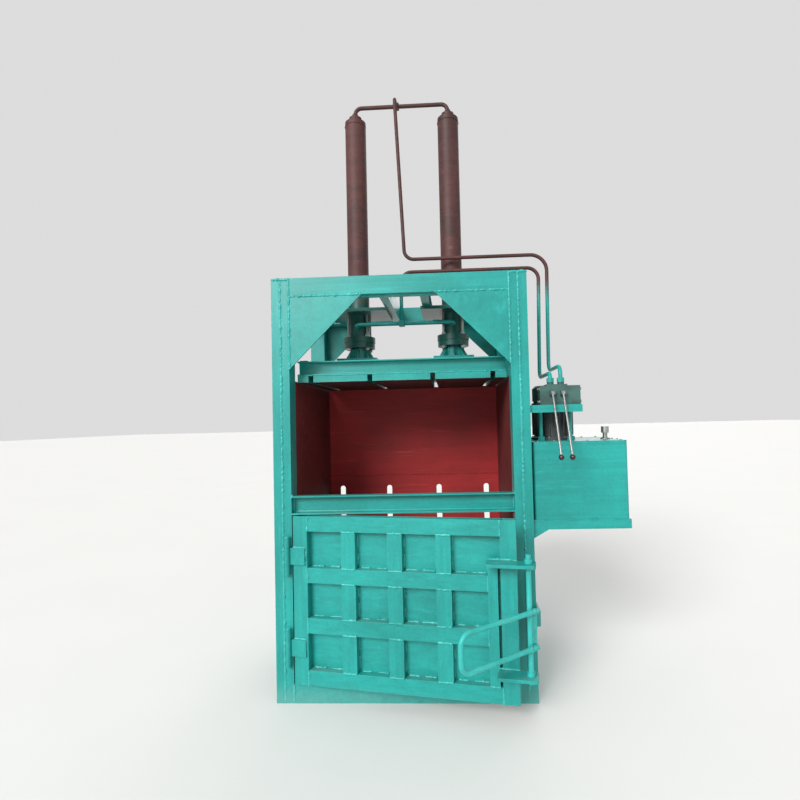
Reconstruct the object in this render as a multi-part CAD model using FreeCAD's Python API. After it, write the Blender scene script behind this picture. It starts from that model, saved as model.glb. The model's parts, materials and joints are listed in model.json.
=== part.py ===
import FreeCAD, Part
import math
import os

from FreeCAD import Vector

# Vertical baling press with two hydraulic cylinders, a swing door and a side oil tank.
# Millimetres. +X is the right of the door, +Y runs to the back wall, +Z is up.
# The origin is on the ground, in the middle of the frame's footprint.

X_AXIS = Vector(1, 0, 0)
Y_AXIS = Vector(0, 1, 0)
Z_AXIS = Vector(0, 0, 1)

# ---- frame -------------------------------------------------------------------------
chamber_width = 1200.0
chamber_depth = 800.0
frame_height = 2290.0
wall_top = 1731.0
wall_thickness = 8.0
door_opening_height = 900.0
gusset_leg = 400.0
rear_gusset_leg = 300.0
gusset_thickness = 10.0
post_cap_thickness = 6.0

# Rolled channels: (height, flange width, web thickness, flange thickness, root radius)
heavy_channel = (100.0, 48.0, 5.3, 8.5, 8.5)
light_channel = (80.0, 43.0, 5.0, 8.0, 8.0)

rib_heights = (378.0, 880.0, 1262.0, 1640.0)
back_rib_heights = (1180.0, 1640.0)
joist_spacing = 260.0

# ---- strap grooves -------------------------------------------------------------------
groove_offsets = (-512.0, -177.0, 177.0, 512.0)
groove_width = 28.0
groove_depth = 40.0
pad_skin = 8.0
floor_thickness = 8.0
slot_width = 36.0
slot_top = 1038.0

# ---- cylinders -----------------------------------------------------------------------
cylinder_offset = 300.0
tube_diameter = 133.0
tube_bore = 110.0
tube_top = 3434.0
head_diameter = 200.0
head_drop = 330.0
head_height = 70.0
head_groove_height = 32.0
head_groove = 4.0
head_collar_diameter = 194.0
rod_diameter = 70.0
piston_height = 60.0
piston_drop = 30.0
cap_height = 26.0
boss_diameter = 80.0
boss_height = 34.0
mount_plate_inner = 104.0
mount_plate_depth = 340.0
mount_plate_thickness = 20.0
stud_diameter = 16.0
stud_offset = 59.0
stud_nut_across_flats = 24.0
stud_nut_height = 13.0
stud_end = 4.0
inner_beam_left = -64.0
inner_beam_right = 116.0
outer_beam_offset = 440.0

# ---- platen --------------------------------------------------------------------------
platen_side_clearance = 12.5
platen_end_clearance = 5.0
platen_drop = 237.0
platen_plate_thickness = 10.0
stand_base_width = 248.0
stand_base_thickness = 16.0
stand_tube_diameter = 105.0
stand_gusset_foot = 40.0
stand_gusset_thickness = 10.0
stand_gusset_toe = 8.0
stand_top_gap = 3.0

# ---- door ----------------------------------------------------------------------------
door_opening_angle = 9.9
door_side_gap = 5.0
door_latch_gap = 11.0
door_end_gap = 4.0
door_proud = 2.0
door_plate_thickness = 8.0
door_rail_tops = (723.0, 458.0)
door_rib_centres = (312.0, 566.0, 820.0)
door_rib_width = 78.0
latch_bar_offset = 1041.0
latch_bar_width = 49.0

# ---- hinges --------------------------------------------------------------------------
hinge_offset_x = 22.0
hinge_offset_y = 20.0
hinge_heights = (300.0, 784.0)
knuckle_diameter = 28.0
knuckle_height = 54.0
hinge_leaf_height = 88.0
hinge_leaf_length = 97.0
hinge_leaf_thickness = 12.0
hinge_gap = 1.0
hinge_pin_diameter = 16.0
hinge_pin_head = 22.0
hinge_pin_head_height = 6.0

# ---- latch ---------------------------------------------------------------------------
latch_rest_angle = 46.0
shaft_diameter = 25.0
shaft_offset = 56.0
shaft_proud = 45.0
shaft_bottom = 238.0
shaft_top = 845.0
ear_heights = (260.0, 788.0)
ear_starts = (1084.0, 1041.0)
ear_thickness = 15.0
ear_depth = 92.0
ear_reach = 92.0
ear_relief = 6.0
collar_diameter = 38.0
collar_height = 20.0
handle_diameter = 24.0
handle_reach = 425.0
handle_tail = 34.0
handle_arm_heights = (408.0, 579.0)
handle_bend = 50.0
handle_bite = 6.0
cam_reach = 44.0
cam_thickness = 14.0
cam_end_gap = 2.0
keeper_thickness = 12.0
keeper_lip_start = 684.5
keeper_lip_gap = 3.0
keeper_lap = 54.0
keeper_end_gap = 4.0
keeper_height = 80.0

# ---- oil tank and motor --------------------------------------------------------------
tank_gap = 12.0
tank_length = 500.0
tank_depth = 500.0
tank_bottom = 948.0
tank_height = 409.0
tank_setback = 30.0
tank_skin = 4.0
tank_corner = 14.0
lid_thickness = 8.0
shelf_leg = 50.0
shelf_thickness = 5.0
shelf_overhang = 7.0
shelf_gusset_width = 84.0
shelf_gusset_drop = 48.0
shelf_gusset_thickness = 8.0
breather_from_right = 65.0
breather_setback = 170.0
breather_diameter = 42.0
breather_height = 72.0
motor_from_left = 162.0
motor_setback = 270.0
motor_flange_diameter = 250.0
motor_flange_thickness = 14.0
motor_body_diameter = 214.0
motor_body_height = 212.0
motor_fin_count = 28
motor_fin_height = 11.0
motor_fin_thickness = 4.0
cowl_diameter = 226.0
cowl_height = 88.0
cowl_shoulder = 16.0
terminal_box = (70.0, 96.0, 84.0)
terminal_box_lift = 70.0
gland_diameter = 24.0
gland_length = 22.0

# ---- valve and levers ----------------------------------------------------------------
bracket_top = 1562.0
bracket_leg = 40.0
bracket_thickness = 5.0
bracket_length = 280.0
bracket_setback = 20.0
valve_setback = 18.0
valve_start = 61.0
valve_outlet_width = 35.0
valve_section_width = 56.0
valve_inlet_width = 68.0
valve_depth = 78.0
valve_height = 112.0
valve_bevel = 6.0
valve_end_shrink = 8.0
spool_height = 63.0
spool_cap_diameter = 34.0
spool_cap_length = 40.0
port_boss_diameter = 36.0
port_boss_height = 12.0
port_boss_reach = 3.0
lever_diameter = 12.0
lever_length = 370.0
lever_lean = 26.5
lever_eye_diameter = 26.0
lever_eye_width = 16.0
lever_pin_diameter = 10.0
lever_ear_thickness = 6.0
lever_ear_gap = 0.5
lever_pin_reach = 20.0
knob_diameter = 30.0
knob_sides = 12
knob_rows = (-66.0, -36.0, 0.0, 36.0, 66.0)

# ---- pipes ---------------------------------------------------------------------------
pipe_diameter = 22.0
header_diameter = 25.0
union_across_flats = 36.0
union_length = 24.0
tee_size = 38.0
header_rise = 67.0
port_rise = 68.0
upper_tee_x = -33.0
lower_tee_x = -16.0
pipe_plane_gap = 27.0
tank_pipe_reach = 40.0
upper_run_rise = 207.0
lower_run_rise = 127.0
upper_run_lean = 43.0
upper_drop_clear = 184.0
lower_drop_clear = 136.0
upper_drop_lean = 4.0
upper_forward_rise = 92.0
lower_forward_rise = 52.0
upper_header_bends = (42.0, 42.0)
lower_header_bends = (24.0, 24.0)
upper_feed_bends = (45.0, 60.0, 100.0, 60.0, 50.0)
lower_feed_bends = (65.0, 70.0, 50.0, 30.0)
tee_chamfer = 4.0

# ---- fits ----------------------------------------------------------------------------
running_fit = 0.05
seat_gap = 0.3
bolt_fit = 0.5

# ---- places worked out from the sizes above ------------------------------------------
post_depth = heavy_channel[0]
post_width = 2 * heavy_channel[1]
beam_height = heavy_channel[0]
beam_depth = 2 * heavy_channel[1]
half_width = chamber_width / 2
frame_depth = post_depth + chamber_depth + wall_thickness
front = -frame_depth / 2
rear = frame_depth / 2
chamber_front = front + post_depth
chamber_rear = rear - wall_thickness
cylinder_y = (chamber_front + chamber_rear) / 2
post_outer = half_width + post_width
rear_post_inner = half_width + wall_thickness
rear_post_outer = rear_post_inner + post_width
beam_bottom = frame_height - beam_height
sill_bottom = beam_height + door_opening_height
sill_top = sill_bottom + heavy_channel[0]
floor_top = beam_height + floor_thickness
head_bottom = frame_height - head_drop
platen_bottom = head_bottom - platen_drop
upper_header_height = tube_top + boss_height + header_rise
lower_header_height = head_bottom + head_height + port_rise
upper_run_height = frame_height + upper_run_rise
lower_run_height = frame_height + lower_run_rise

parts = {}


def add(name, *solids):
    parts.setdefault(name, []).extend(solids)


# ---- shapes --------------------------------------------------------------------------
def block(x0, x1, y0, y1, z0, z1):
    return Part.makeBox(x1 - x0, y1 - y0, z1 - z0, Vector(x0, y0, z0))


def rod(diameter, start, axis, length):
    return Part.makeCylinder(diameter / 2, length, start, axis)


def flat_outline(corners, origin, u, v):
    """Face through corners (x, y[, corner radius]) laid in the plane of u and v."""
    def lift(point):
        return origin + u * point.x + v * point.y

    flat = [Vector(corner[0], corner[1], 0) for corner in corners]
    radii = [corner[2] if len(corner) > 2 else 0.0 for corner in corners]
    edges = []
    joints = []
    for i, corner in enumerate(flat):
        to_last = (flat[i - 1] - corner).normalize()
        to_next = (flat[(i + 1) % len(flat)] - corner).normalize()
        if radii[i] == 0.0:
            joints.append((corner, None, corner))
            continue
        half_turn = to_last.getAngle(to_next) / 2
        reach = radii[i] / math.tan(half_turn)
        centre = corner + (to_last + to_next).normalize() * (radii[i] / math.sin(half_turn))
        middle = centre + (corner - centre).normalize() * radii[i]
        joints.append((corner + to_last * reach, middle, corner + to_next * reach))
    for i, (start, middle, end) in enumerate(joints):
        if middle is not None:
            edges.append(Part.Arc(lift(start), lift(middle), lift(end)).toShape())
        following = joints[(i + 1) % len(joints)][0]
        if (following - end).Length > 1e-6:
            edges.append(Part.makeLine(lift(end), lift(following)))
    return Part.Face(Part.Wire(edges))


def prism(corners, origin, u, v, way):
    """Outline in the plane of u and v, pushed along the vector way."""
    solid = flat_outline(corners, origin, u, v).extrude(way)
    return solid if solid.Volume > 0 else solid.reversed()


def channel(section, corner, web_way, flange_way, run, rolled=False):
    """Channel whose web's outer face starts at corner and whose toes point flange_way.
    It gets its rolled roots and rounded toes where its trough shows."""
    height, flange, web, skin, root = section
    root = root if rolled else 0.0
    toe = skin * 0.4 if rolled else 0.0
    outline = [
        (0, 0), (height, 0), (height, flange), (height - skin, flange, toe),
        (height - skin, web, root), (skin, web, root), (skin, flange, toe), (0, flange)]
    return prism(outline, corner, web_way, flange_way, run)


def box_of_channels(section, corner, web_way, flange_way, run):
    """Two channels welded toe to toe into a box."""
    far = corner + flange_way * (2 * section[1])
    return [channel(section, corner, web_way, flange_way, run),
            channel(section, far, web_way, flange_way * -1, run)]


def angle_bar(leg, thickness, corner, leg_one, leg_two, run):
    outline = [(0, 0), (leg, 0), (leg, thickness), (thickness, thickness, thickness),
               (thickness, leg), (0, leg)]
    return prism(outline, corner, leg_one, leg_two, run)


def hexagon(across_flats, centre, axis, length):
    """Hexagonal nut blank round an axis, without its bore."""
    radius = across_flats / math.sqrt(3)
    side = X_AXIS if abs(axis.x) < 0.9 else Y_AXIS
    other = axis.cross(side).normalize()
    side = other.cross(axis).normalize()
    outline = []
    for i in range(6):
        turn = math.radians(60 * i + 30)
        outline.append((radius * math.cos(turn), radius * math.sin(turn)))
    return prism(outline, centre, side, other, axis * length)


def bent_bar(points, radii, diameter):
    """Round bar along straight runs that are joined by tangent arcs."""
    edges = []
    last = points[0]
    for i in range(1, len(points) - 1):
        back = (points[i - 1] - points[i]).normalize()
        ahead = (points[i + 1] - points[i]).normalize()
        half_turn = back.getAngle(ahead) / 2
        reach = radii[i - 1] / math.tan(half_turn)
        centre = points[i] + (back + ahead).normalize() * (radii[i - 1] / math.sin(half_turn))
        middle = centre + (points[i] - centre).normalize() * radii[i - 1]
        edges.append(Part.makeLine(last, points[i] + back * reach))
        edges.append(Part.Arc(points[i] + back * reach, middle, points[i] + ahead * reach).toShape())
        last = points[i] + ahead * reach
    edges.append(Part.makeLine(last, points[-1]))
    start_way = (points[1] - points[0]).normalize()
    section = Part.Wire(Part.makeCircle(diameter / 2, points[0], start_way))
    return Part.Wire(edges).makePipeShell([section], True, False)


def union_nut(end, way):
    """Pipe union that stands on a port at end and points along way."""
    return hexagon(union_across_flats, end, way, union_length)


def pad_spans(half_span):
    """Stretches between the strap grooves across a width."""
    edges = [-half_span]
    for offset in groove_offsets:
        edges += [offset - groove_width / 2, offset + groove_width / 2]
    edges.append(half_span)
    return [(edges[i], edges[i + 1]) for i in range(0, len(edges), 2)]


# ---- frame ---------------------------------------------------------------------------
def build_posts():
    """Each post is two channels toe to toe, closed by a plate at the foot and one at the head."""
    low = post_cap_thickness
    up = Z_AXIS * (frame_height - 2 * post_cap_thickness)
    for side, name in ((-1, "left"), (1, "right")):
        for node, x, y in (("front_post_" + name, side * post_outer, front),
                           ("rear_posts", side * rear_post_outer, rear - post_depth)):
            outer = Vector(x, y, low)
            add(node, *box_of_channels(heavy_channel, outer, Y_AXIS, X_AXIS * -side, up))
            x0, x1 = sorted((x, x - side * post_width))
            for z in (0, frame_height - post_cap_thickness):
                add("post_caps", block(x0, x1, y, y + post_depth, z, z + post_cap_thickness))


def build_top():
    across = X_AXIS * chamber_width
    corner = Vector(-half_width, front, beam_bottom)
    add("top_front_beam", *box_of_channels(heavy_channel, corner, Z_AXIS, Y_AXIS, across))
    corner = Vector(-rear_post_inner, rear - beam_depth, beam_bottom)
    add("top_rear_beam", *box_of_channels(heavy_channel, corner, Z_AXIS, Y_AXIS,
                                          X_AXIS * (2 * rear_post_inner)))
    side_run = Y_AXIS * (rear - front - 2 * post_depth)
    for side in (-1, 1):
        corner = Vector(side * post_outer, chamber_front, beam_bottom)
        add("top_side_beams",
            channel(heavy_channel, corner, Z_AXIS, X_AXIS * -side, side_run, rolled=True))


def build_gussets():
    """Triangular corner plates, flush with the faces of the posts."""
    for side in (-1, 1):
        corner = Vector(side * half_width, front, beam_bottom)
        leg = [(0, 0), (gusset_leg, 0), (0, gusset_leg)]
        add("corner_gussets",
            prism(leg, corner, X_AXIS * -side, Z_AXIS * -1, Y_AXIS * gusset_thickness))
        corner = Vector(side * rear_post_inner, rear - gusset_thickness, beam_bottom)
        leg = [(0, 0), (rear_gusset_leg, 0), (0, rear_gusset_leg)]
        add("corner_gussets",
            prism(leg, corner, X_AXIS * -side, Z_AXIS * -1, Y_AXIS * gusset_thickness))


def build_base():
    across = X_AXIS * chamber_width
    corner = Vector(-half_width, front, 0)
    add("base_beams", channel(heavy_channel, corner, Z_AXIS, Y_AXIS, across))
    corner = Vector(-rear_post_inner, rear, 0)
    add("base_beams", channel(heavy_channel, corner, Z_AXIS, Y_AXIS * -1,
                              X_AXIS * (2 * rear_post_inner)))
    side_run = Y_AXIS * (rear - front - 2 * post_depth)
    for side in (-1, 1):
        corner = Vector(side * post_outer, chamber_front, 0)
        add("base_beams", channel(heavy_channel, corner, Z_AXIS, X_AXIS * -side, side_run))
    reach = post_outer - heavy_channel[1]
    for step in (-1, 0, 1):
        corner = Vector(-reach, step * joist_spacing - heavy_channel[1] / 2, 0)
        add("floor_joists", channel(heavy_channel, corner, Z_AXIS, Y_AXIS, X_AXIS * (2 * reach)))


def build_chamber():
    """Chamber walls with their outside ribs, the grooved floor and the slotted back."""
    corner = Vector(-half_width, front + heavy_channel[1], sill_bottom)
    add("sill_beam",
        channel(heavy_channel, corner, Z_AXIS, Y_AXIS * -1, X_AXIS * chamber_width, rolled=True))
    floor_front = front + heavy_channel[1] + door_plate_thickness
    add("floor_plate", block(-half_width, half_width, floor_front, chamber_rear,
                             beam_height, floor_top))
    for x0, x1 in pad_spans(half_width):
        add("floor_pads", pad_tray(x0, x1, floor_front, chamber_rear, floor_top, 1))
    rib_run = Y_AXIS * (rear - front - 2 * post_depth)
    for side, name in ((-1, "left"), (1, "right")):
        inner, outer = sorted((side * half_width, side * rear_post_inner))
        add("side_wall_" + name, block(inner, outer, chamber_front, chamber_rear,
                                       beam_height, wall_top))
        for height in rib_heights:
            toes = Vector(side * (rear_post_inner + light_channel[1]), chamber_front, height)
            add("side_ribs", channel(light_channel, toes, Z_AXIS, X_AXIS * -side, rib_run))
    build_back_wall()


def pad_tray(x0, x1, y0, y1, z0, opens):
    """Pressing pad folded from plate. Its hollow side is turned to the plate that carries it."""
    z1 = z0 + groove_depth
    hollow_low = z0 if opens > 0 else z0 + pad_skin
    hollow_high = z1 - pad_skin if opens > 0 else z1
    solid = block(x0, x1, y0, y1, z0, z1)
    hollow = block(x0 + pad_skin, x1 - pad_skin, y0 + pad_skin, y1 - pad_skin,
                   hollow_low, hollow_high)
    return solid.cut(hollow)


def build_back_wall():
    wall = block(-rear_post_inner, rear_post_inner, chamber_rear, rear, beam_height, wall_top)
    for offset in groove_offsets:
        end = slot_width / 2
        slot = [(-end, floor_top), (end, floor_top), (end, slot_top, end * 0.99),
                (-end, slot_top, end * 0.99)]
        wall = wall.cut(prism(slot, Vector(offset, chamber_rear, 0), X_AXIS, Z_AXIS,
                              Y_AXIS * wall_thickness))
    add("back_wall", wall)
    for height in back_rib_heights:
        corner = Vector(-rear_post_inner, rear + light_channel[1], height)
        add("back_ribs", channel(light_channel, corner, Z_AXIS, Y_AXIS * -1,
                                 X_AXIS * (2 * rear_post_inner)))
    upright_run = Z_AXIS * (back_rib_heights[0] - beam_height)
    for i in range(len(groove_offsets) - 1):
        middle = (groove_offsets[i] + groove_offsets[i + 1]) / 2
        corner = Vector(middle - light_channel[0] / 2, rear + light_channel[1], beam_height)
        add("back_ribs", channel(light_channel, corner, X_AXIS, Y_AXIS * -1, upright_run))


# ---- cylinders -----------------------------------------------------------------------
def build_cylinder_seat():
    run = Y_AXIS * (frame_depth - 2 * beam_depth)
    start = front + beam_depth
    for x, way in ((-outer_beam_offset, -1), (inner_beam_left, -1),
                   (inner_beam_right, 1), (outer_beam_offset, 1)):
        corner = Vector(x, start, beam_bottom)
        add("cylinder_beams", channel(heavy_channel, corner, Z_AXIS, X_AXIS * way, run, rolled=True))
    y0 = cylinder_y - mount_plate_depth / 2
    plate_low = beam_bottom - mount_plate_thickness
    outer = outer_beam_offset + heavy_channel[1]
    for side in (-1, 1):
        x0, x1 = sorted((side * mount_plate_inner, side * outer))
        plate = block(x0, x1, y0, y0 + mount_plate_depth, plate_low, beam_bottom)
        centre = Vector(side * cylinder_offset, cylinder_y, plate_low)
        plate = plate.cut(rod(tube_diameter + 2 * seat_gap, centre, Z_AXIS, mount_plate_thickness))
        for dx, dy in stud_places():
            hole = rod(stud_diameter + bolt_fit, centre + Vector(dx, dy, 0), Z_AXIS,
                       mount_plate_thickness)
            plate = plate.cut(hole)
        add("cylinder_mount_plates", plate)


def stud_places():
    return [(dx * stud_offset, dy * stud_offset) for dx in (-1, 1) for dy in (-1, 1)]


def build_cylinder(side):
    """Tube, head flange, cap with its boss, and the rod with its piston inside."""
    centre = Vector(side * cylinder_offset, cylinder_y, 0)
    head_top = head_bottom + head_height
    tube = rod(tube_diameter, centre + Z_AXIS * head_top, Z_AXIS, tube_top - cap_height - head_top)
    boss_front = Vector(centre.x, cylinder_y - tube_diameter / 2 - port_boss_reach,
                        lower_header_height)
    tube = tube.fuse(rod(port_boss_diameter, boss_front, Y_AXIS, port_boss_reach + 20))
    tube = tube.cut(rod(tube_bore, centre + Z_AXIS * head_top, Z_AXIS, tube_top - head_top))
    add("cylinder_tubes", tube)

    groove_low = head_bottom + head_groove_height
    head = rod(head_collar_diameter, centre + Z_AXIS * head_bottom, Z_AXIS, head_groove_height)
    waist = rod(head_collar_diameter - 2 * head_groove, centre + Z_AXIS * groove_low, Z_AXIS, head_groove)
    rim_low = groove_low + head_groove
    head = head.fuse([waist, rod(head_diameter, centre + Z_AXIS * rim_low, Z_AXIS, head_top - rim_low)])
    head = head.cut(rod(rod_diameter + 2 * running_fit, centre + Z_AXIS * head_bottom, Z_AXIS,
                        head_height))
    for dx, dy in stud_places():
        head = head.cut(rod(stud_diameter + bolt_fit, centre + Vector(dx, dy, head_bottom),
                            Z_AXIS, head_height))
    add("cylinder_heads", head)

    cap = rod(tube_diameter, centre + Z_AXIS * (tube_top - cap_height), Z_AXIS, cap_height)
    boss = rod(boss_diameter, centre + Z_AXIS * tube_top, Z_AXIS, boss_height)
    add("cylinder_caps", cap.fuse(boss).removeSplitter())

    rod_low = platen_deck() + stand_base_thickness
    rod_high = tube_top - cap_height - piston_drop
    shank = rod(rod_diameter, centre + Z_AXIS * rod_low, Z_AXIS, rod_high - piston_height - rod_low)
    piston = rod(tube_bore - 2 * running_fit, centre + Z_AXIS * (rod_high - piston_height), Z_AXIS,
                 piston_height)
    add("piston_rods", shank.fuse(piston))
    build_studs(centre)


def build_studs(centre):
    """Four long studs that hang the head flange from the mounting plate."""
    low = head_bottom - stud_nut_height - stud_end
    high = beam_bottom + stud_nut_height + stud_end
    for dx, dy in stud_places():
        place = centre + Vector(dx, dy, 0)
        seats = (head_bottom - stud_nut_height, head_bottom + head_height, beam_bottom)
        nuts = [hexagon(stud_nut_across_flats, place + Z_AXIS * height, Z_AXIS, stud_nut_height)
                for height in seats]
        stud = rod(stud_diameter, place + Z_AXIS * low, Z_AXIS, high - low)
        add("cylinder_studs", stud.fuse(nuts))


# ---- platen --------------------------------------------------------------------------
def platen_deck():
    """Height at which the cylinder stands sit on the platen's cross beams."""
    return platen_bottom + groove_depth + platen_plate_thickness + heavy_channel[0]


def build_platen():
    half = half_width - platen_side_clearance
    y0 = chamber_front + platen_end_clearance
    y1 = chamber_rear - platen_end_clearance
    pad_top = platen_bottom + groove_depth
    for x0, x1 in pad_spans(half):
        add("platen_pads", pad_tray(x0, x1, y0, y1, platen_bottom, -1))

    across = X_AXIS * (2 * half)
    flange = light_channel[1]
    add("platen_channels",
        channel(light_channel, Vector(-half, y0 + flange, pad_top), Z_AXIS, Y_AXIS * -1, across,
                rolled=True))
    add("platen_channels",
        channel(light_channel, Vector(-half, y1 - flange, pad_top), Z_AXIS, Y_AXIS, across))
    add("platen_plate", block(-half, half, y0 + flange, y1 - flange,
                              pad_top, pad_top + platen_plate_thickness))
    side_run = Y_AXIS * (y1 - y0 - 2 * flange)
    deck = pad_top + platen_plate_thickness
    for side in (-1, 1):
        corner = Vector(side * half, y0 + flange, deck)
        add("platen_channels", channel(light_channel, corner, Z_AXIS, X_AXIS * -side, side_run))

    reach = half - flange
    for side in (-1, 1):
        web = cylinder_y + side * stand_base_width / 2
        corner = Vector(-reach, web, deck)
        add("platen_cross_beams",
            channel(heavy_channel, corner, Z_AXIS, Y_AXIS * -side, X_AXIS * (2 * reach)))


def build_stand(side):
    """Foot that ties a piston rod to the platen: base plate, socket and eight tapered gussets."""
    centre = Vector(side * cylinder_offset, cylinder_y, platen_deck())
    half = stand_base_width / 2
    base = block(centre.x - half, centre.x + half, centre.y - half, centre.y + half,
                 centre.z, centre.z + stand_base_thickness)
    foot_height = centre.z + stand_base_thickness
    socket_height = head_bottom - stand_top_gap - foot_height
    foot = Vector(centre.x, centre.y, foot_height)
    solid = base.fuse(rod(stand_tube_diameter, foot, Z_AXIS, socket_height))
    inner = stand_tube_diameter / 2 - 4
    outer = stand_tube_diameter / 2 + stand_gusset_foot
    gusset = [(inner, 0), (outer, 0), (outer, stand_gusset_toe),
              (inner + stand_gusset_toe, socket_height), (inner, socket_height)]
    for i in range(8):
        turn = math.radians(45 * i)
        out = Vector(math.cos(turn), math.sin(turn), 0)
        across = Z_AXIS.cross(out)
        start = foot - across * (stand_gusset_thickness / 2)
        solid = solid.fuse(prism(gusset, start, out, Z_AXIS, across * stand_gusset_thickness))
    solid = solid.cut(rod(rod_diameter, foot, Z_AXIS, socket_height))
    add("platen_stands", solid.removeSplitter())


# ---- hinges and door -----------------------------------------------------------------
hinge_x = -half_width - hinge_offset_x
hinge_y = front - hinge_offset_y
door_left = -half_width + door_side_gap
door_right = half_width - door_latch_gap
door_front = front - door_proud
door_bottom = beam_height + door_end_gap
door_top = sill_bottom - door_end_gap
door_back = door_front + light_channel[1]


def swung(solid):
    """Turn a piece that is drawn with the door shut to the half-open door's place."""
    return solid.rotated(Vector(hinge_x, hinge_y, 0), Z_AXIS, -door_opening_angle)


def add_to_door(name, *solids):
    add(name, *[swung(solid) for solid in solids])


def build_hinges():
    radius = knuckle_diameter / 2
    for middle in hinge_heights:
        leaf_low = middle - hinge_leaf_height / 2
        leaf_high = middle + hinge_leaf_height / 2
        for low in (leaf_low - hinge_gap - knuckle_height, leaf_high + hinge_gap):
            barrel = rod(knuckle_diameter, Vector(hinge_x, hinge_y, low), Z_AXIS, knuckle_height)
            lug = block(hinge_x - radius, hinge_x + radius, hinge_y, front,
                        low, low + knuckle_height)
            bore = rod(hinge_pin_diameter, Vector(hinge_x, hinge_y, low), Z_AXIS, knuckle_height)
            add("hinge_post_knuckles", barrel.fuse(lug).removeSplitter().cut(bore))
        pin_low = leaf_low - hinge_gap - knuckle_height - 4
        pin_high = leaf_high + hinge_gap + knuckle_height
        pin = rod(hinge_pin_diameter, Vector(hinge_x, hinge_y, pin_low), Z_AXIS, pin_high - pin_low)
        head = rod(hinge_pin_head, Vector(hinge_x, hinge_y, pin_high), Z_AXIS, hinge_pin_head_height)
        add("hinge_pins", pin.fuse(head))

        barrel = rod(knuckle_diameter, Vector(hinge_x, hinge_y, leaf_low), Z_AXIS, hinge_leaf_height)
        leaf = block(hinge_x, hinge_x + hinge_leaf_length,
                     door_front - hinge_leaf_thickness, door_front, leaf_low, leaf_high)
        bore = rod(hinge_pin_diameter + 2 * running_fit, Vector(hinge_x, hinge_y, leaf_low),
                   Z_AXIS, hinge_leaf_height)
        add_to_door("hinge_leaves", barrel.fuse(leaf).removeSplitter().cut(bore))


def door_channel(x0, x1, z0, z1):
    """Channel with its web to the front: it stands if it is taller than it is wide."""
    _, flange, web, skin, root = light_channel
    if z1 - z0 > x1 - x0:
        section = (x1 - x0, flange, web, skin, root)
        return channel(section, Vector(x0, door_front, z0), X_AXIS, Y_AXIS, Z_AXIS * (z1 - z0))
    section = (z1 - z0, flange, web, skin, root)
    return channel(section, Vector(x0, door_front, z0), Z_AXIS, Y_AXIS, X_AXIS * (x1 - x0))


def build_door():
    """Plate with channels on its front: two stiles, four rails, nine short ribs and a latch bar."""
    size = light_channel[0]
    add_to_door("door_plate", block(door_left, door_right, door_back,
                                    door_back + door_plate_thickness, door_bottom, door_top))
    rail_left = door_left + size
    rail_right = door_right - size
    bar_left = door_left + latch_bar_offset
    add_to_door("door_stiles", door_channel(door_left, rail_left, door_bottom, door_top))
    add_to_door("door_stiles", door_channel(rail_right, door_right, door_bottom, door_top))
    add_to_door("door_rails", door_channel(rail_left, rail_right, door_top - size, door_top))
    add_to_door("door_rails",
                door_channel(rail_left, rail_right, door_bottom, door_bottom + size))
    for top in door_rail_tops:
        add_to_door("door_rails", door_channel(rail_left, bar_left, top - size, top))

    lows = (door_bottom + size, door_rail_tops[1], door_rail_tops[0])
    highs = (door_rail_tops[1] - size, door_rail_tops[0] - size, door_top - size)
    for centre in door_rib_centres:
        x0 = door_left + centre - door_rib_width / 2
        for low, high in zip(lows, highs):
            add_to_door("door_ribs", door_channel(x0, x0 + door_rib_width, low, high))
    add_to_door("door_ribs",
                door_channel(bar_left, bar_left + latch_bar_width, door_bottom + size, ear_heights[1]))
    for low, start in zip(ear_heights, ear_starts):
        add_to_door("latch_ears", latch_ear(door_left + start, low))


# ---- latch ---------------------------------------------------------------------------
shaft_x = door_right + shaft_offset
shaft_y = door_front - shaft_proud


def latch_ear(start, low):
    """Plate that carries the shaft. Past the door's edge it stands clear of the post."""
    end = door_right + ear_reach
    outline = [(start, door_front), (start, door_front - ear_depth, 6),
               (end, door_front - ear_depth, 14), (end, door_front - ear_relief, 8),
               (door_right, door_front - ear_relief), (door_right, door_front)]
    plate = prism(outline, Vector(0, 0, low), X_AXIS, Y_AXIS, Z_AXIS * ear_thickness)
    bore = rod(shaft_diameter + 2 * running_fit, Vector(shaft_x, shaft_y, low), Z_AXIS,
               ear_thickness)
    return plate.cut(bore)


def add_to_latch(name, *solids):
    pivot = Vector(shaft_x, shaft_y, 0)
    add_to_door(name, *[solid.rotated(pivot, Z_AXIS, latch_rest_angle) for solid in solids])


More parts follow.
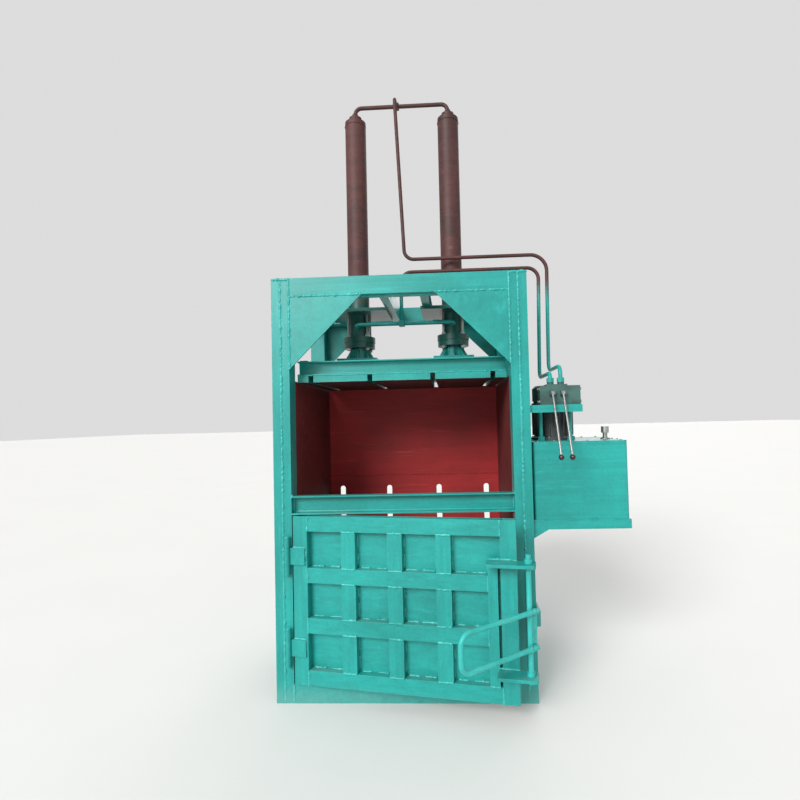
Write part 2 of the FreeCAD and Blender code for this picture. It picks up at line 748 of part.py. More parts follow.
def build_latch():
    """Shaft in two ears, with a bent handle and a cam that turns behind the keeper's lip."""
    shaft = rod(shaft_diameter, Vector(shaft_x, shaft_y, shaft_bottom), Z_AXIS,
                shaft_top - shaft_bottom)
    collars = [rod(collar_diameter, Vector(shaft_x, shaft_y, low + ear_thickness + seat_gap), Z_AXIS,
                   collar_height) for low in ear_heights]
    add_to_latch("latch_shaft", shaft.fuse(collars))

    low, high = handle_arm_heights
    arm_y = shaft_y - (shaft_diameter + handle_diameter) / 2 + handle_bite
    tail_x = shaft_x + handle_tail
    grip_x = shaft_x - handle_reach
    route = [Vector(tail_x, arm_y, high), Vector(grip_x, arm_y, high),
             Vector(grip_x, arm_y, low), Vector(tail_x, arm_y, low)]
    handle = bent_bar(route, (handle_bend, handle_bend), handle_diameter)
    clearance = rod(shaft_diameter, Vector(shaft_x, shaft_y, shaft_bottom), Z_AXIS,
                    shaft_top - shaft_bottom)
    add_to_latch("latch_handle", handle.cut(clearance))

    cam_low = low + handle_diameter / 2 + cam_end_gap
    cam_high = high - handle_diameter / 2 - cam_end_gap
    half = cam_thickness / 2
    outline = [(0, -half), (cam_reach, -half, half * 0.98), (cam_reach, half, half * 0.98), (0, half)]
    cam = prism(outline, Vector(shaft_x, shaft_y, cam_low), X_AXIS, Y_AXIS,
                Z_AXIS * (cam_high - cam_low))
    add_to_latch("latch_cam", cam.cut(clearance))
    return cam_low


def build_keeper(cam_low):
    """Hooked strip on the outside of the right post: the cam turns in behind its lip."""
    low = cam_low + keeper_end_gap
    high = low + keeper_height
    lip_rear = shaft_y - cam_thickness / 2 - keeper_lip_gap
    lip_front = lip_rear - keeper_thickness
    strip_right = post_outer + keeper_thickness
    outline = [(post_outer, front + keeper_lap), (post_outer, lip_rear),
               (keeper_lip_start, lip_rear), (keeper_lip_start, lip_front),
               (strip_right, lip_front, keeper_thickness * 0.8), (strip_right, front + keeper_lap)]
    add("latch_keeper", prism(outline, Vector(0, 0, low), X_AXIS, Y_AXIS, Z_AXIS * (high - low)))


# ---- oil tank, motor and valve -------------------------------------------------------
tank_left = post_outer + tank_gap
tank_front = front + tank_setback
tank_top = tank_bottom + tank_height


def build_shelf():
    """Two angle brackets from the frame's side, each with a triangular gusset below."""
    right = tank_left + tank_length + shelf_overhang
    for y, way, start in ((tank_front - shelf_thickness, 1, post_outer),
                          (tank_front + tank_depth + shelf_thickness, -1,
                           rear_post_inner + light_channel[1])):
        corner = Vector(start, y, tank_bottom)
        bar = angle_bar(shelf_leg, shelf_thickness, corner, Y_AXIS * way, Z_AXIS * -1,
                        X_AXIS * (right - start))
        low = Vector(start, y, tank_bottom - shelf_leg)
        drop = shelf_gusset_drop if start == post_outer else tank_bottom - shelf_leg - rib_heights[1]
        gusset = prism([(0, 0), (shelf_gusset_width, 0), (0, drop)], low, X_AXIS, Z_AXIS * -1,
                       Y_AXIS * (way * shelf_gusset_thickness))
        add("tank_shelf", bar.fuse(gusset).removeSplitter())


def build_tank():
    r = tank_corner
    corner = Vector(tank_left, tank_front, tank_bottom)
    outline = [(0, 0, r), (tank_length, 0, r), (tank_length, tank_depth, r), (0, tank_depth, r)]
    shell = prism(outline, corner, X_AXIS, Y_AXIS, Z_AXIS * tank_height)
    s = tank_skin
    hollow = [(s, s, r - s), (tank_length - s, s, r - s), (tank_length - s, tank_depth - s, r - s),
              (s, tank_depth - s, r - s)]
    inside = prism(hollow, corner + Z_AXIS * s, X_AXIS, Y_AXIS, Z_AXIS * (tank_height - s))
    add("oil_tank", shell.cut(inside))
    add("tank_lid", prism(outline, corner + Z_AXIS * tank_height, X_AXIS, Y_AXIS,
                          Z_AXIS * lid_thickness))

    top = tank_top + lid_thickness
    place = Vector(tank_left + tank_length - breather_from_right, tank_front + breather_setback, top)
    neck = rod(breather_diameter * 0.6, place, Z_AXIS, breather_height)
    flange = rod(breather_diameter * 1.3, place, Z_AXIS, 5)
    cap = rod(breather_diameter, place + Z_AXIS * (breather_height * 0.5), Z_AXIS,
              breather_height * 0.5)
    add("filler_breather", neck.fuse([flange, cap]).removeSplitter())


def build_motor():
    """Upright motor with cooling fins, a fan cowl on top and its terminal box at the back."""
    base = Vector(tank_left + motor_from_left, tank_front + motor_setback, tank_top + lid_thickness)
    flange = rod(motor_flange_diameter, base, Z_AXIS, motor_flange_thickness)
    foot = base + Z_AXIS * motor_flange_thickness
    body = flange.fuse(rod(motor_body_diameter, foot, Z_AXIS, motor_body_height))
    inner = motor_body_diameter / 2 - 3
    fin = [(0, 0), (motor_fin_height + 3, 0), (motor_fin_height + 3, motor_body_height - 24),
           (0, motor_body_height - 24)]
    fins = []
    for i in range(motor_fin_count):
        turn = 2 * math.pi * (i + 0.5) / motor_fin_count
        out = Vector(math.cos(turn), math.sin(turn), 0)
        across = Z_AXIS.cross(out)
        start = foot + out * inner + Z_AXIS * 12 - across * (motor_fin_thickness / 2)
        fins.append(prism(fin, start, out, Z_AXIS, across * motor_fin_thickness))
    add("motor", body.fuse(fins).removeSplitter())

    cowl_low = foot + Z_AXIS * motor_body_height
    cowl = rod(cowl_diameter, cowl_low, Z_AXIS, cowl_height)
    rim = [edge for edge in cowl.Edges if edge.BoundBox.ZMin > cowl_low.z + cowl_height - 1]
    add("motor_fan_cowl", cowl.makeChamfer(cowl_shoulder, rim))

    width, height, depth = terminal_box
    y0 = base.y + motor_body_diameter / 2 + motor_fin_height
    z0 = foot.z + terminal_box_lift
    box = block(base.x - width / 2, base.x + width / 2, y0, y0 + depth, z0, z0 + height)
    edges = [edge for edge in box.Edges if abs(edge.Length - depth) < 0.01]
    place = Vector(base.x, y0 + depth / 2, z0 - gland_length)
    gland = hexagon(gland_diameter, place, Z_AXIS, gland_length)
    gland = gland.cut(rod(gland_diameter * 0.5, place, Z_AXIS, gland_length))
    add("terminal_box", box.makeFillet(6, edges).fuse(gland))


valve_left = post_outer + valve_start
valve_front = front + bracket_setback + valve_setback
valve_widths = (valve_outlet_width, valve_section_width, valve_section_width, valve_inlet_width)
valve_top = bracket_top + valve_height
lever_pivot_y = valve_front - lever_pin_reach
lever_pivot_z = bracket_top + spool_height


def lever_places():
    first = valve_left + valve_outlet_width + valve_section_width / 2
    return (first, first + valve_section_width)


def build_valve():
    """Sectional control valve on its angle bracket: two end sections and two with levers."""
    corner = Vector(post_outer, front + bracket_setback, bracket_top)
    add("valve_bracket", angle_bar(bracket_leg, bracket_thickness, corner, Y_AXIS, Z_AXIS * -1,
                                   X_AXIS * bracket_length))
    x = valve_left
    for i, width in enumerate(valve_widths):
        working = i in (1, 2)
        shrink = 0 if working else valve_end_shrink
        depth = valve_depth - shrink
        height = valve_height - shrink
        outline = [(0, 0), (depth, 0), (depth, height - valve_bevel), (depth - valve_bevel, height),
                   (valve_bevel, height), (0, height - valve_bevel)]
        section = prism(outline, Vector(x, valve_front, bracket_top), Y_AXIS, Z_AXIS,
                        X_AXIS * width)
        if working:
            middle = x + width / 2
            section = section.fuse(valve_fittings(middle))
        add("valve_sections", section.removeSplitter())
        x += width


def valve_fittings(middle):
    """Spool cap at the back, port boss on top and the two lever ears at the front."""
    spool = Vector(middle, valve_front + valve_depth, bracket_top + spool_height)
    port = Vector(middle, valve_front + valve_depth / 2, valve_top)
    pieces = [rod(spool_cap_diameter, spool, Y_AXIS, spool_cap_length),
              rod(port_boss_diameter, port, Z_AXIS, port_boss_height)]
    for side in (-1, 1):
        near = lever_eye_width / 2 + lever_ear_gap
        x0, x1 = sorted((middle + side * near, middle + side * (near + lever_ear_thickness)))
        radius = lever_eye_diameter / 2
        ear = [(-lever_pin_reach - radius, -radius, radius * 0.9), (0, -radius), (0, radius),
               (-lever_pin_reach - radius, radius, radius * 0.9)]
        solid = prism(ear, Vector(x0, valve_front, lever_pivot_z), Y_AXIS, Z_AXIS,
                      X_AXIS * (x1 - x0))
        pieces.append(solid)
    span = lever_eye_width + 2 * (lever_ear_gap + lever_ear_thickness)
    pin = rod(lever_pin_diameter, Vector(middle - span / 2, lever_pivot_y, lever_pivot_z), X_AXIS,
              span)
    return pieces + [pin]


def faceted_knob(centre, way):
    """Ball knob with flat facets round it, bored for the lever's end."""
    radius = knob_diameter / 2
    other = way.cross(X_AXIS).normalize()
    rows = []
    for rise in knob_rows:
        middle = centre + way * (radius * math.sin(math.radians(rise)))
        reach = radius * math.cos(math.radians(rise))
        turns = [2 * math.pi * i / knob_sides for i in range(knob_sides)]
        rows.append([middle + (X_AXIS * math.cos(turn) + other * math.sin(turn)) * reach
                     for turn in turns])
    outlines = [rows[0], rows[-1]]
    for low, high in zip(rows, rows[1:]):
        for i in range(knob_sides):
            outlines.append([low[i - 1], low[i], high[i], high[i - 1]])
    faces = [Part.Face(Part.makePolygon(outline + [outline[0]])) for outline in outlines]
    solid = Part.makeSolid(Part.makeShell(faces))
    solid = solid if solid.Volume > 0 else solid.reversed()
    depth = radius * math.sin(math.radians(knob_rows[-1]))
    return solid.cut(rod(lever_diameter, centre - way * depth, way, depth))


def build_levers():
    lean = math.radians(lever_lean)
    way = Vector(0, -math.sin(lean), -math.cos(lean))
    for x, name in zip(lever_places(), ("left", "right")):
        pivot = Vector(x, lever_pivot_y, lever_pivot_z)
        eye = rod(lever_eye_diameter, pivot - X_AXIS * (lever_eye_width / 2), X_AXIS,
                  lever_eye_width)
        arm = rod(lever_diameter, pivot + way * 8, way, lever_length - 8)
        bore = rod(lever_pin_diameter + 2 * running_fit, pivot - X_AXIS * lever_eye_width, X_AXIS,
                   2 * lever_eye_width)
        add("valve_lever_" + name, eye.fuse(arm).cut(bore).removeSplitter())
        add("lever_knob_" + name, faceted_knob(pivot + way * lever_length, way))


# ---- pipes ---------------------------------------------------------------------------
pipe_y = cylinder_y - tube_diameter / 2 - pipe_plane_gap - pipe_diameter / 2


def build_headers():
    """Pipes that join the two cylinders: one over the caps, one in front of the tubes."""
    low = tube_top + boss_height
    route = []
    for x in (-cylinder_offset, cylinder_offset):
        ends = [Vector(x, cylinder_y, low), Vector(x, cylinder_y, upper_header_height)]
        route += ends if x < 0 else ends[::-1]
    header = bent_bar(route, upper_header_bends, header_diameter)
    nuts = [union_nut(route[0], Z_AXIS), union_nut(route[-1], Z_AXIS)]
    tee = tee_block(Vector(upper_tee_x, cylinder_y, upper_header_height))
    add("upper_header_pipe", header.fuse(nuts + [tee]).removeSplitter())

    face = cylinder_y - tube_diameter / 2 - port_boss_reach
    route = []
    for x in (-cylinder_offset, cylinder_offset):
        ends = [Vector(x, face, lower_header_height), Vector(x, pipe_y, lower_header_height)]
        route += ends if x < 0 else ends[::-1]
    header = bent_bar(route, lower_header_bends, header_diameter)
    tee = tee_block(Vector(lower_tee_x, pipe_y, lower_header_height))
    add("lower_header_pipe", header.fuse([tee]).removeSplitter())


def tee_block(centre):
    half = tee_size / 2
    cube = block(centre.x - half, centre.x + half, centre.y - half, centre.y + half,
                 centre.z - half, centre.z + half)
    return cube.makeChamfer(tee_chamfer, cube.Edges)


def build_feed_pipes():
    """One bent pipe from each header's tee to its port on the valve."""
    first, second = lever_places()
    port_y = valve_front + valve_depth / 2
    port_z = valve_top + port_boss_height
    half = tee_size / 2
    drop_x = post_outer + upper_drop_clear
    forward_z = port_z + upper_forward_rise
    start = Vector(upper_tee_x, cylinder_y - half, upper_header_height)
    route = [start, Vector(upper_tee_x, pipe_y, upper_header_height),
             Vector(upper_tee_x + upper_run_lean, pipe_y, upper_run_height),
             Vector(drop_x + upper_drop_lean, pipe_y, upper_run_height),
             Vector(second, pipe_y, forward_z), Vector(second, port_y, forward_z),
             Vector(second, port_y, port_z)]
    pipe = bent_bar(route, upper_feed_bends, pipe_diameter)
    add("upper_feed_pipe", pipe.fuse([union_nut(route[-1], Z_AXIS)]).removeSplitter())

    drop_x = post_outer + lower_drop_clear
    forward_z = port_z + lower_forward_rise
    start = Vector(lower_tee_x, pipe_y, lower_header_height + half)
    route = [start, Vector(lower_tee_x, pipe_y, lower_run_height),
             Vector(drop_x, pipe_y, lower_run_height),
             Vector(first, pipe_y, forward_z), Vector(first, port_y, forward_z),
             Vector(first, port_y, port_z)]
    pipe = bent_bar(route, lower_feed_bends, pipe_diameter)
    add("lower_feed_pipe", pipe.fuse([union_nut(route[-1], Z_AXIS)]).removeSplitter())


def build_tank_pipes():
    """Pressure and return pipes from the tank's lid to the valve's end sections."""
    top = tank_top + lid_thickness
    back = valve_front + valve_depth - valve_end_shrink
    port_z = bracket_top + spool_height - valve_end_shrink
    width = sum(valve_widths)
    for x in (valve_left + valve_outlet_width / 2, valve_left + width - valve_inlet_width / 2):
        start = Vector(x, back + tank_pipe_reach, top)
        route = [start, Vector(x, back + tank_pipe_reach, port_z), Vector(x, back, port_z)]
        pipe = bent_bar(route, (32,), pipe_diameter)
        add("tank_pipes", pipe.fuse([union_nut(start, Z_AXIS)]).removeSplitter())


# ---- assembly ------------------------------------------------------------------------
build_posts()
build_top()
build_gussets()
build_base()
build_chamber()
build_cylinder_seat()
for cylinder_side in (-1, 1):
    build_cylinder(cylinder_side)
    build_stand(cylinder_side)
build_platen()
build_hinges()
build_door()
build_keeper(build_latch())
build_shelf()
build_tank()
build_motor()
build_valve()
build_levers()
build_headers()
build_feed_pipes()
build_tank_pipes()

os.makedirs("parts", exist_ok=True)
for name, solids in parts.items():
    shape = solids[0] if len(solids) == 1 else Part.makeCompound(solids)
    shape.exportStep("parts/%s.step" % name)
    box = shape.BoundBox
    print("%-24s %2d %8.0f..%.0f %8.0f..%.0f %8.0f..%.0f" % (
        name, len(shape.Solids), box.XMin, box.XMax, box.YMin, box.YMax, box.ZMin, box.ZMax))
print(len(parts), "nodes")
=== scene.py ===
import json
import math
import random

import bmesh
import bpy
from mathutils import Matrix, Vector


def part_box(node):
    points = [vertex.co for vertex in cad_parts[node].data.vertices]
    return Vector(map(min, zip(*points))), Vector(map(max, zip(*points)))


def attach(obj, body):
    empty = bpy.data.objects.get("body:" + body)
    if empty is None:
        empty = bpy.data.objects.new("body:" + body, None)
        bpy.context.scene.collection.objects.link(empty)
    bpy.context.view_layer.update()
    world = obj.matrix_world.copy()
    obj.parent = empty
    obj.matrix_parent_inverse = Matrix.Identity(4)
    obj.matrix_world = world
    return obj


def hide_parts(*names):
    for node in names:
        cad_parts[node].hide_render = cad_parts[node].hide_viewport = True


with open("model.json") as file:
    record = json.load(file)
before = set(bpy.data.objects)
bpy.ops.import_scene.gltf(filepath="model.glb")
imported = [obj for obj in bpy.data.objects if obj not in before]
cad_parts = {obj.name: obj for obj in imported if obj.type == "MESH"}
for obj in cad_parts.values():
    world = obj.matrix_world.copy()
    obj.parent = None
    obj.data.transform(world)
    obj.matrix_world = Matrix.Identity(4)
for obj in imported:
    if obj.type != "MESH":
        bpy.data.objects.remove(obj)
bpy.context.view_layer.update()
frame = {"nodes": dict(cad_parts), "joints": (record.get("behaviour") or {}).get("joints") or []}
nodes = frame["nodes"]
print("stage: frame loaded,", len(nodes), "nodes")


class Wire:
    # one output socket that can be used in Python expressions
    def __init__(self, finish, socket):
        self.finish = finish
        self.socket = socket

    def calc(self, operation, *values):
        return self.finish.calc(operation, *values)

    def __add__(self, other):
        return self.calc("ADD", self, other)

    def __radd__(self, other):
        return self.calc("ADD", other, self)

    def __sub__(self, other):
        return self.calc("SUBTRACT", self, other)

    def __rsub__(self, other):
        return self.calc("SUBTRACT", other, self)

    def __mul__(self, other):
        return self.calc("MULTIPLY", self, other)

    def __rmul__(self, other):
        return self.calc("MULTIPLY", other, self)

    def __gt__(self, other):
        return self.calc("GREATER_THAN", self, other)

    def __lt__(self, other):
        return self.calc("LESS_THAN", self, other)


class Finish:
    # a material and the one method that adds its nodes
    def __init__(self, name):
        self.material = bpy.data.materials.new(name)
        self.material.use_nodes = True
        self.tree = self.material.node_tree
        self.tree.nodes.clear()
        self.place = self.node("ShaderNodeTexCoord", {}, {}, "Object")
        parts = self.node("ShaderNodeSeparateXYZ", {}, {0: self.place}, None)
        self.x, self.y, self.z = (Wire(self, parts.outputs[i]) for i in range(3))

    def node(self, kind, settings, values, output=0):
        # settings are set first, then the values or links of the sockets
        made = self.tree.nodes.new(kind)
        for name, value in settings.items():
            setattr(made, name, value)
        for name, value in values.items():
            socket = made.inputs[name]
            if isinstance(value, Wire):
                self.tree.links.new(value.socket, socket)
            else:
                socket.default_value = value
        return made if output is None else Wire(self, made.outputs[output])

    def calc(self, operation, *values):
        return self.node("ShaderNodeMath", {"operation": operation}, dict(enumerate(values)))

    def stretched(self, scale, shift=(0, 0, 0), turn=(0, 0, 0)):
        return self.node("ShaderNodeMapping", {}, {
            "Vector": self.place, "Location": shift, "Rotation": turn, "Scale": scale})

    def noise(self, scale, detail=3.0, rough=0.55, stretch=(1, 1, 1), shift=(0, 0, 0), twist=0.0,
              turn=(0, 0, 0)):
        return self.node("ShaderNodeTexNoise", {}, {
            "Vector": self.stretched(stretch, shift, turn), "Scale": scale, "Detail": detail,
            "Roughness": rough, "Distortion": twist})

    def ramp(self, value, low, high):
        # 0 at low and 1 at high, with a soft start and end
        return self.node("ShaderNodeMapRange", {"interpolation_type": "SMOOTHSTEP"}, {
            "Value": value, "From Min": low, "From Max": high})

    def blend(self, factor, first, second):
        # 6 and 7 are the Mix node's two colours, 2 is its colour output
        return self.node("ShaderNodeMix", {"data_type": "RGBA"}, {0: factor, 6: first, 7: second}, 2)

    def shade(self, colour, amount):
        # multiplies a colour by a grey amount
        return self.node("ShaderNodeVectorMath", {"operation": "SCALE"}, {0: colour, "Scale": amount})

    def edges(self, radius=0.004):
        # 1 on rounded edges, 0 on flats
        rounded = self.node("ShaderNodeBevel", {"samples": 6}, {"Radius": radius})
        flat = self.node("ShaderNodeNewGeometry", {}, {}, "True Normal")
        near = self.node("ShaderNodeVectorMath", {"operation": "DOT_PRODUCT"}, {0: rounded, 1: flat}, 1)
        return self.ramp(1 - near, 0.02, 0.2)

    def upward(self):
        # 1 on faces that look up
        normal = self.node("ShaderNodeNewGeometry", {}, {}, "True Normal")
        height = self.node("ShaderNodeSeparateXYZ", {}, {0: normal}, 2)
        return self.ramp(height, 0.6, 0.95)

    def finishWith(self, colour, roughness, height, bumpDepth, softEdge=0.0015, metallic=0.0,
                   constants=None):
        # constants are the same all over the surface and go onto the shader's own sockets
        values = {"Base Color": colour, "Roughness": roughness, "Metallic": metallic}
        rounded = self.node("ShaderNodeBevel", {"samples": 6}, {"Radius": softEdge})
        values["Normal"] = self.node("ShaderNodeBump", {}, {
            "Strength": 1.0, "Distance": bumpDepth, "Height": height, "Normal": rounded})
        values.update(constants or {})
        shader = self.node("ShaderNodeBsdfPrincipled", {}, values)
        self.node("ShaderNodeOutputMaterial", {}, {"Surface": shader}, None)
        return self.material


enamelCoat = {"Specular IOR Level": 0.36, "Coat Weight": 0.10, "Coat Roughness": 0.14}
handleCoat = {"Specular IOR Level": 0.32, "Coat Weight": 0.10, "Coat Roughness": 0.12}
enamelLook = {
    "deep": (0.006, 0.222, 0.200, 1),
    "main": (0.009, 0.285, 0.259, 1),
    "thin": (0.022, 0.360, 0.334, 1),
    # a paler teal for worn edges and rubbed places; on edges it is also a painted highlight
    "wearAndHighlight": (0.080, 0.450, 0.420, 1),
    "rust": (0.080, 0.032, 0.018, 1),
    "dust": (0.150, 0.310, 0.285, 1),
}
# the weld beads' paler teal is a painted highlight
beadHighlightLook = dict(enamelLook, deep=(0.012, 0.270, 0.245, 1), main=(0.030, 0.390, 0.358, 1),
                thin=(0.100, 0.530, 0.495, 1))
# the latch handle, shaft, cam and hinge pins: handled paint, made paler as painted light
handleLitLook = dict(enamelLook, deep=(0.018, 0.335, 0.305, 1), main=(0.030, 0.425, 0.390, 1),
                  thin=(0.075, 0.530, 0.495, 1))
# a much darker teal: painted shade for the parts under the top deck and the lower tubes
paintedShadeLook = dict(enamelLook, deep=(0.004, 0.062, 0.050, 1), main=(0.007, 0.098, 0.080, 1),
                 thin=(0.014, 0.145, 0.122, 1))
primerLook = {
    "deep": (0.230, 0.009, 0.010, 1),
    "main": (0.340, 0.013, 0.015, 1),
    "thin": (0.400, 0.036, 0.036, 1),
    "scuff": (0.440, 0.150, 0.135, 1),
}
# a darker copy of the primer for the side walls: painted shade
sidePrimerInPaintedShade = {
    "deep": (0.075, 0.012, 0.012, 1),
    "main": (0.145, 0.020, 0.019, 1),
    "thin": (0.190, 0.062, 0.056, 1),
    "scuff": (0.270, 0.150, 0.135, 1),
}
ironRed = {
    "deep": (0.035, 0.012, 0.011, 1),
    "main": (0.075, 0.022, 0.020, 1),
    "thin": (0.140, 0.055, 0.045, 1),
    "scuff": (0.200, 0.110, 0.090, 1),
}
# the stretch of the paint's runs and of its roller lines along a piece
grainWays = {
    "x": ((1.2, 9, 9), (1.5, 60, 60)),
    "y": ((9, 1.2, 9), (60, 1.5, 60)),
    "z": ((9, 9, 1.2), (60, 60, 1.5)),
    "even": ((3, 3, 3), (28, 28, 28)),
}


def enamelColour(finish, way, look, wearAmount=1.0, rubbed=0.0):
    # rolled enamel: soft clouds, runs and roller lines along way, worn edges in a paler teal that is
    # partly wear and partly a painted edge highlight, a few chips, dust
    long, lines = grainWays[way]
    runs = finish.noise(1.5, 4, 0.55, long, twist=0.3)
    clouds = finish.noise(1.7, 4, 0.55, shift=(3.1, 0.4, 7.7))
    tone = finish.ramp(runs * 0.35 + clouds * 0.65, 0.36, 0.64)
    colour = finish.blend(tone, look["deep"], look["main"])
    thin = finish.ramp(finish.noise(4.2, 3, 0.6, long, (9.0, 2.0, 4.0)), 0.54, 0.80)
    colour = finish.blend(thin * 0.45, colour, look["thin"])
    rolled = finish.noise(1.0, 3, 0.55, lines, (5.0, 3.0, 8.0))
    mottle = finish.noise(75, 2, 0.6, shift=(7.0, 2.0, 5.0))
    patchy = finish.noise(15, 3, 0.62, (1, 1, 0.5), (2.0, 7.0, 4.0))
    colour = finish.shade(colour, 0.50 + mottle * 0.30 + rolled * 0.38 + patchy * 0.22)
    drags = finish.ramp(finish.noise(5.0, 3, 0.7, (34, 34, 7), (2, 6, 1), turn=(0.0, 0.5, 0.0)),
                        0.71, 0.76)
    colour = finish.blend(drags * finish.ramp(clouds, 0.46, 0.58) * 0.5, colour, look["thin"])
    breaks = finish.noise(38, 4, 0.7, shift=(1.5, 8.0, 2.0))
    edge = finish.edges()
    # the paler teal on the edges is wear and a painted highlight
    wearAndHighlight = edge * finish.ramp(breaks, 0.40, 0.62) * wearAmount
    rub = finish.ramp(finish.noise(11, 4, 0.6, shift=(6, 2, 2)), 0.50, 0.66) * rubbed
    colour = finish.blend(wearAndHighlight * 0.6 + rub, colour, look["wearAndHighlight"])
    chips = edge * finish.ramp(finish.noise(60, 3, 0.6, shift=(4, 4, 1)), 0.64, 0.69) * wearAmount
    specks = finish.ramp(finish.noise(95, 2, 0.5, shift=(2, 9, 5)), 0.745, 0.775)
    colour = finish.blend(chips * 0.55 + specks * 0.5, colour, look["rust"])
    low = finish.ramp(finish.z, 0.14, 0.0) * finish.ramp(clouds + breaks * 0.4, 0.45, 0.85)
    dust = finish.upward() * finish.ramp(finish.noise(7, 4, 0.6), 0.38, 0.7) * 0.4
    colour = finish.blend(low * 0.4 + dust, colour, look["dust"])
    return colour, runs, clouds, breaks, wearAndHighlight


def enamelFinish(name, way, look=enamelLook, wearAmount=1.0, gloss=0.0, coat=enamelCoat, rubbed=0.0):
    finish = Finish(name)
    colour, runs, clouds, breaks, wearAndHighlight = enamelColour(finish, way, look, wearAmount, rubbed)
    rough = 0.30 - gloss + runs * 0.10 + clouds * 0.10 + wearAndHighlight * 0.15
    height = runs * 0.30 + breaks * 0.10 + finish.noise(120, 2, 0.6) * 0.16
    return finish.finishWith(colour, rough, height, 0.0012, constants=coat)


def primerColour(finish, look, way):
    # matt primer: streaks and patches, thin places, long fine scratches
    long = grainWays[way][0]
    streaks = finish.noise(2.3, 6, 0.65, long, twist=0.5)
    patches = finish.noise(2.6, 5, 0.62, shift=(6, 1, 2))
    tone = finish.ramp(streaks * 0.5 + patches * 0.5, 0.36, 0.62)
    colour = finish.blend(tone, look["deep"], look["main"])
    fine = finish.noise(7.0, 4, 0.65, long, (3, 3, 3))
    colour = finish.blend(finish.ramp(fine, 0.55, 0.78) * 0.4, colour, look["thin"])
    scratches = finish.ramp(finish.noise(3.0, 2, 0.5, (0.7, 40, 40), (5, 5, 5), 0.4), 0.66, 0.74)
    colour = finish.blend(scratches * finish.ramp(patches, 0.45, 0.62) * 0.45, colour, look["scuff"])
    return colour, streaks, patches, fine


def primerFinish(name):
    finish = Finish(name)
    colour, streaks, patches, fine = primerColour(finish, primerLook, "even")
    edge = finish.edges() * finish.ramp(finish.noise(30, 3, 0.6), 0.45, 0.6)
    colour = finish.blend(edge * 0.5, colour, primerLook["scuff"])
    rough = 0.52 + patches * 0.2 + streaks * 0.12
    height = streaks * 0.5 + fine * 0.3 + finish.noise(180, 2, 0.5) * 0.2
    return finish.finishWith(colour, rough, height, 0.0015, constants={"Specular IOR Level": 0.3})


def twoSidedFinish(name, way, inside, look=primerLook, outerLook=enamelLook):
    # enamel outside and primer inside; inside gives 1 where the primer shows
    finish = Finish(name)
    outer, runs, _, breaks, _ = enamelColour(finish, way, outerLook)
    inner, streaks, patches, fine = primerColour(finish, look, "x")
    side = inside(finish, breaks)
    colour = finish.blend(side, outer, inner)
    rough = 0.32 + runs * 0.12 + side * (0.16 + patches * 0.15)
    height = runs * 0.35 + breaks * 0.12 + side * (streaks * 0.3 + fine * 0.2)
    return finish.finishWith(colour, rough, height, 0.0011, constants={"Specular IOR Level": 0.4})


def metalFinish(name, base, dark, roughness, grainWay=(1, 1, 1), tarnish=0.35):
    # bright metal with fine grain and dull spots
    finish = Finish(name)
    grain = finish.noise(90, 4, 0.6, grainWay)
    spots = finish.noise(14, 5, 0.65, shift=(2, 2, 8))
    colour = finish.blend(finish.ramp(spots, 0.42, 0.72) * tarnish, base, dark)
    colour = finish.shade(colour, 0.86 + grain * 0.28)
    rough = roughness + grain * 0.12 + finish.ramp(spots, 0.45, 0.7) * 0.2 * tarnish
    metallic = 1.0 - finish.ramp(spots, 0.6, 0.8) * 0.3
    return finish.finishWith(colour, rough, grain, 0.0003, 0.0008, metallic)


def castFinish(name, base, dark, roughness, grit=260, depth=0.0012):
    # painted casting: pebbled skin, grease in patches, light edges
    finish = Finish(name)
    light = tuple(min(1, 1.8 * channel + 0.05) for channel in base[:3]) + (1,)
    pebbles = finish.noise(grit, 3, 0.6)
    clouds = finish.noise(9, 5, 0.6, shift=(1, 6, 3))
    colour = finish.blend(finish.ramp(clouds, 0.35, 0.68), dark, base)
    edge = finish.edges(0.003) * finish.ramp(finish.noise(45, 3, 0.6), 0.45, 0.62)
    colour = finish.blend(edge * 0.5, colour, light)
    dust = finish.upward() * finish.ramp(finish.noise(16, 4, 0.6), 0.4, 0.7) * 0.35
    colour = finish.blend(dust, colour, (0.28, 0.28, 0.26, 1))
    rough = roughness + clouds * 0.2 + pebbles * 0.08
    return finish.finishWith(colour, rough, pebbles * 0.4 + clouds * 0.3, depth)


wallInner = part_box("side_wall_right")[0].x  # inner face of the side walls
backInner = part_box("back_wall")[0].y
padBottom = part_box("platen_pads")[0].z
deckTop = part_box("cylinder_beams")[1].z
doorHinge = next(joint for joint in frame["joints"] if joint["child"] == "door")
latchHinge = next(joint for joint in frame["joints"] if joint["child"] == "latch")
doorAngle = math.radians(9.9)  # how far the door stands open at rest
latchAngle = math.radians(46.0)  # how far the latch is turned at rest
hingeLine = Vector(doorHinge["pos_m"])
skin = 0.0006  # how far the primer reaches past an inner face
doorInner = -0.4056  # inner face of the shut door's plate, less the skin


# where the primer shows, as 0 to 1; breaks is a noise that frays the border
def insideSides(finish, breaks):
    return finish.calc("ABSOLUTE", finish.x) < wallInner + skin


def insideBack(finish, breaks):
    return finish.y < backInner + skin


def underside(finish, breaks):
    return finish.ramp(finish.z + breaks * 0.006, padBottom + 0.006, padBottom + 0.003)


def insideDoor(finish, breaks):
    # the plate's inner face, in the door's resting place
    across, away = finish.x - hingeLine.x, finish.y - hingeLine.y
    return across * math.sin(doorAngle) + away * math.cos(doorAngle) > doorInner - hingeLine.y


def aboveFrame(finish, breaks):
    # the spray gun's teal fades out a little above the top beams
    return finish.ramp(finish.z + breaks * 0.16, deckTop - 0.02, deckTop + 0.14)


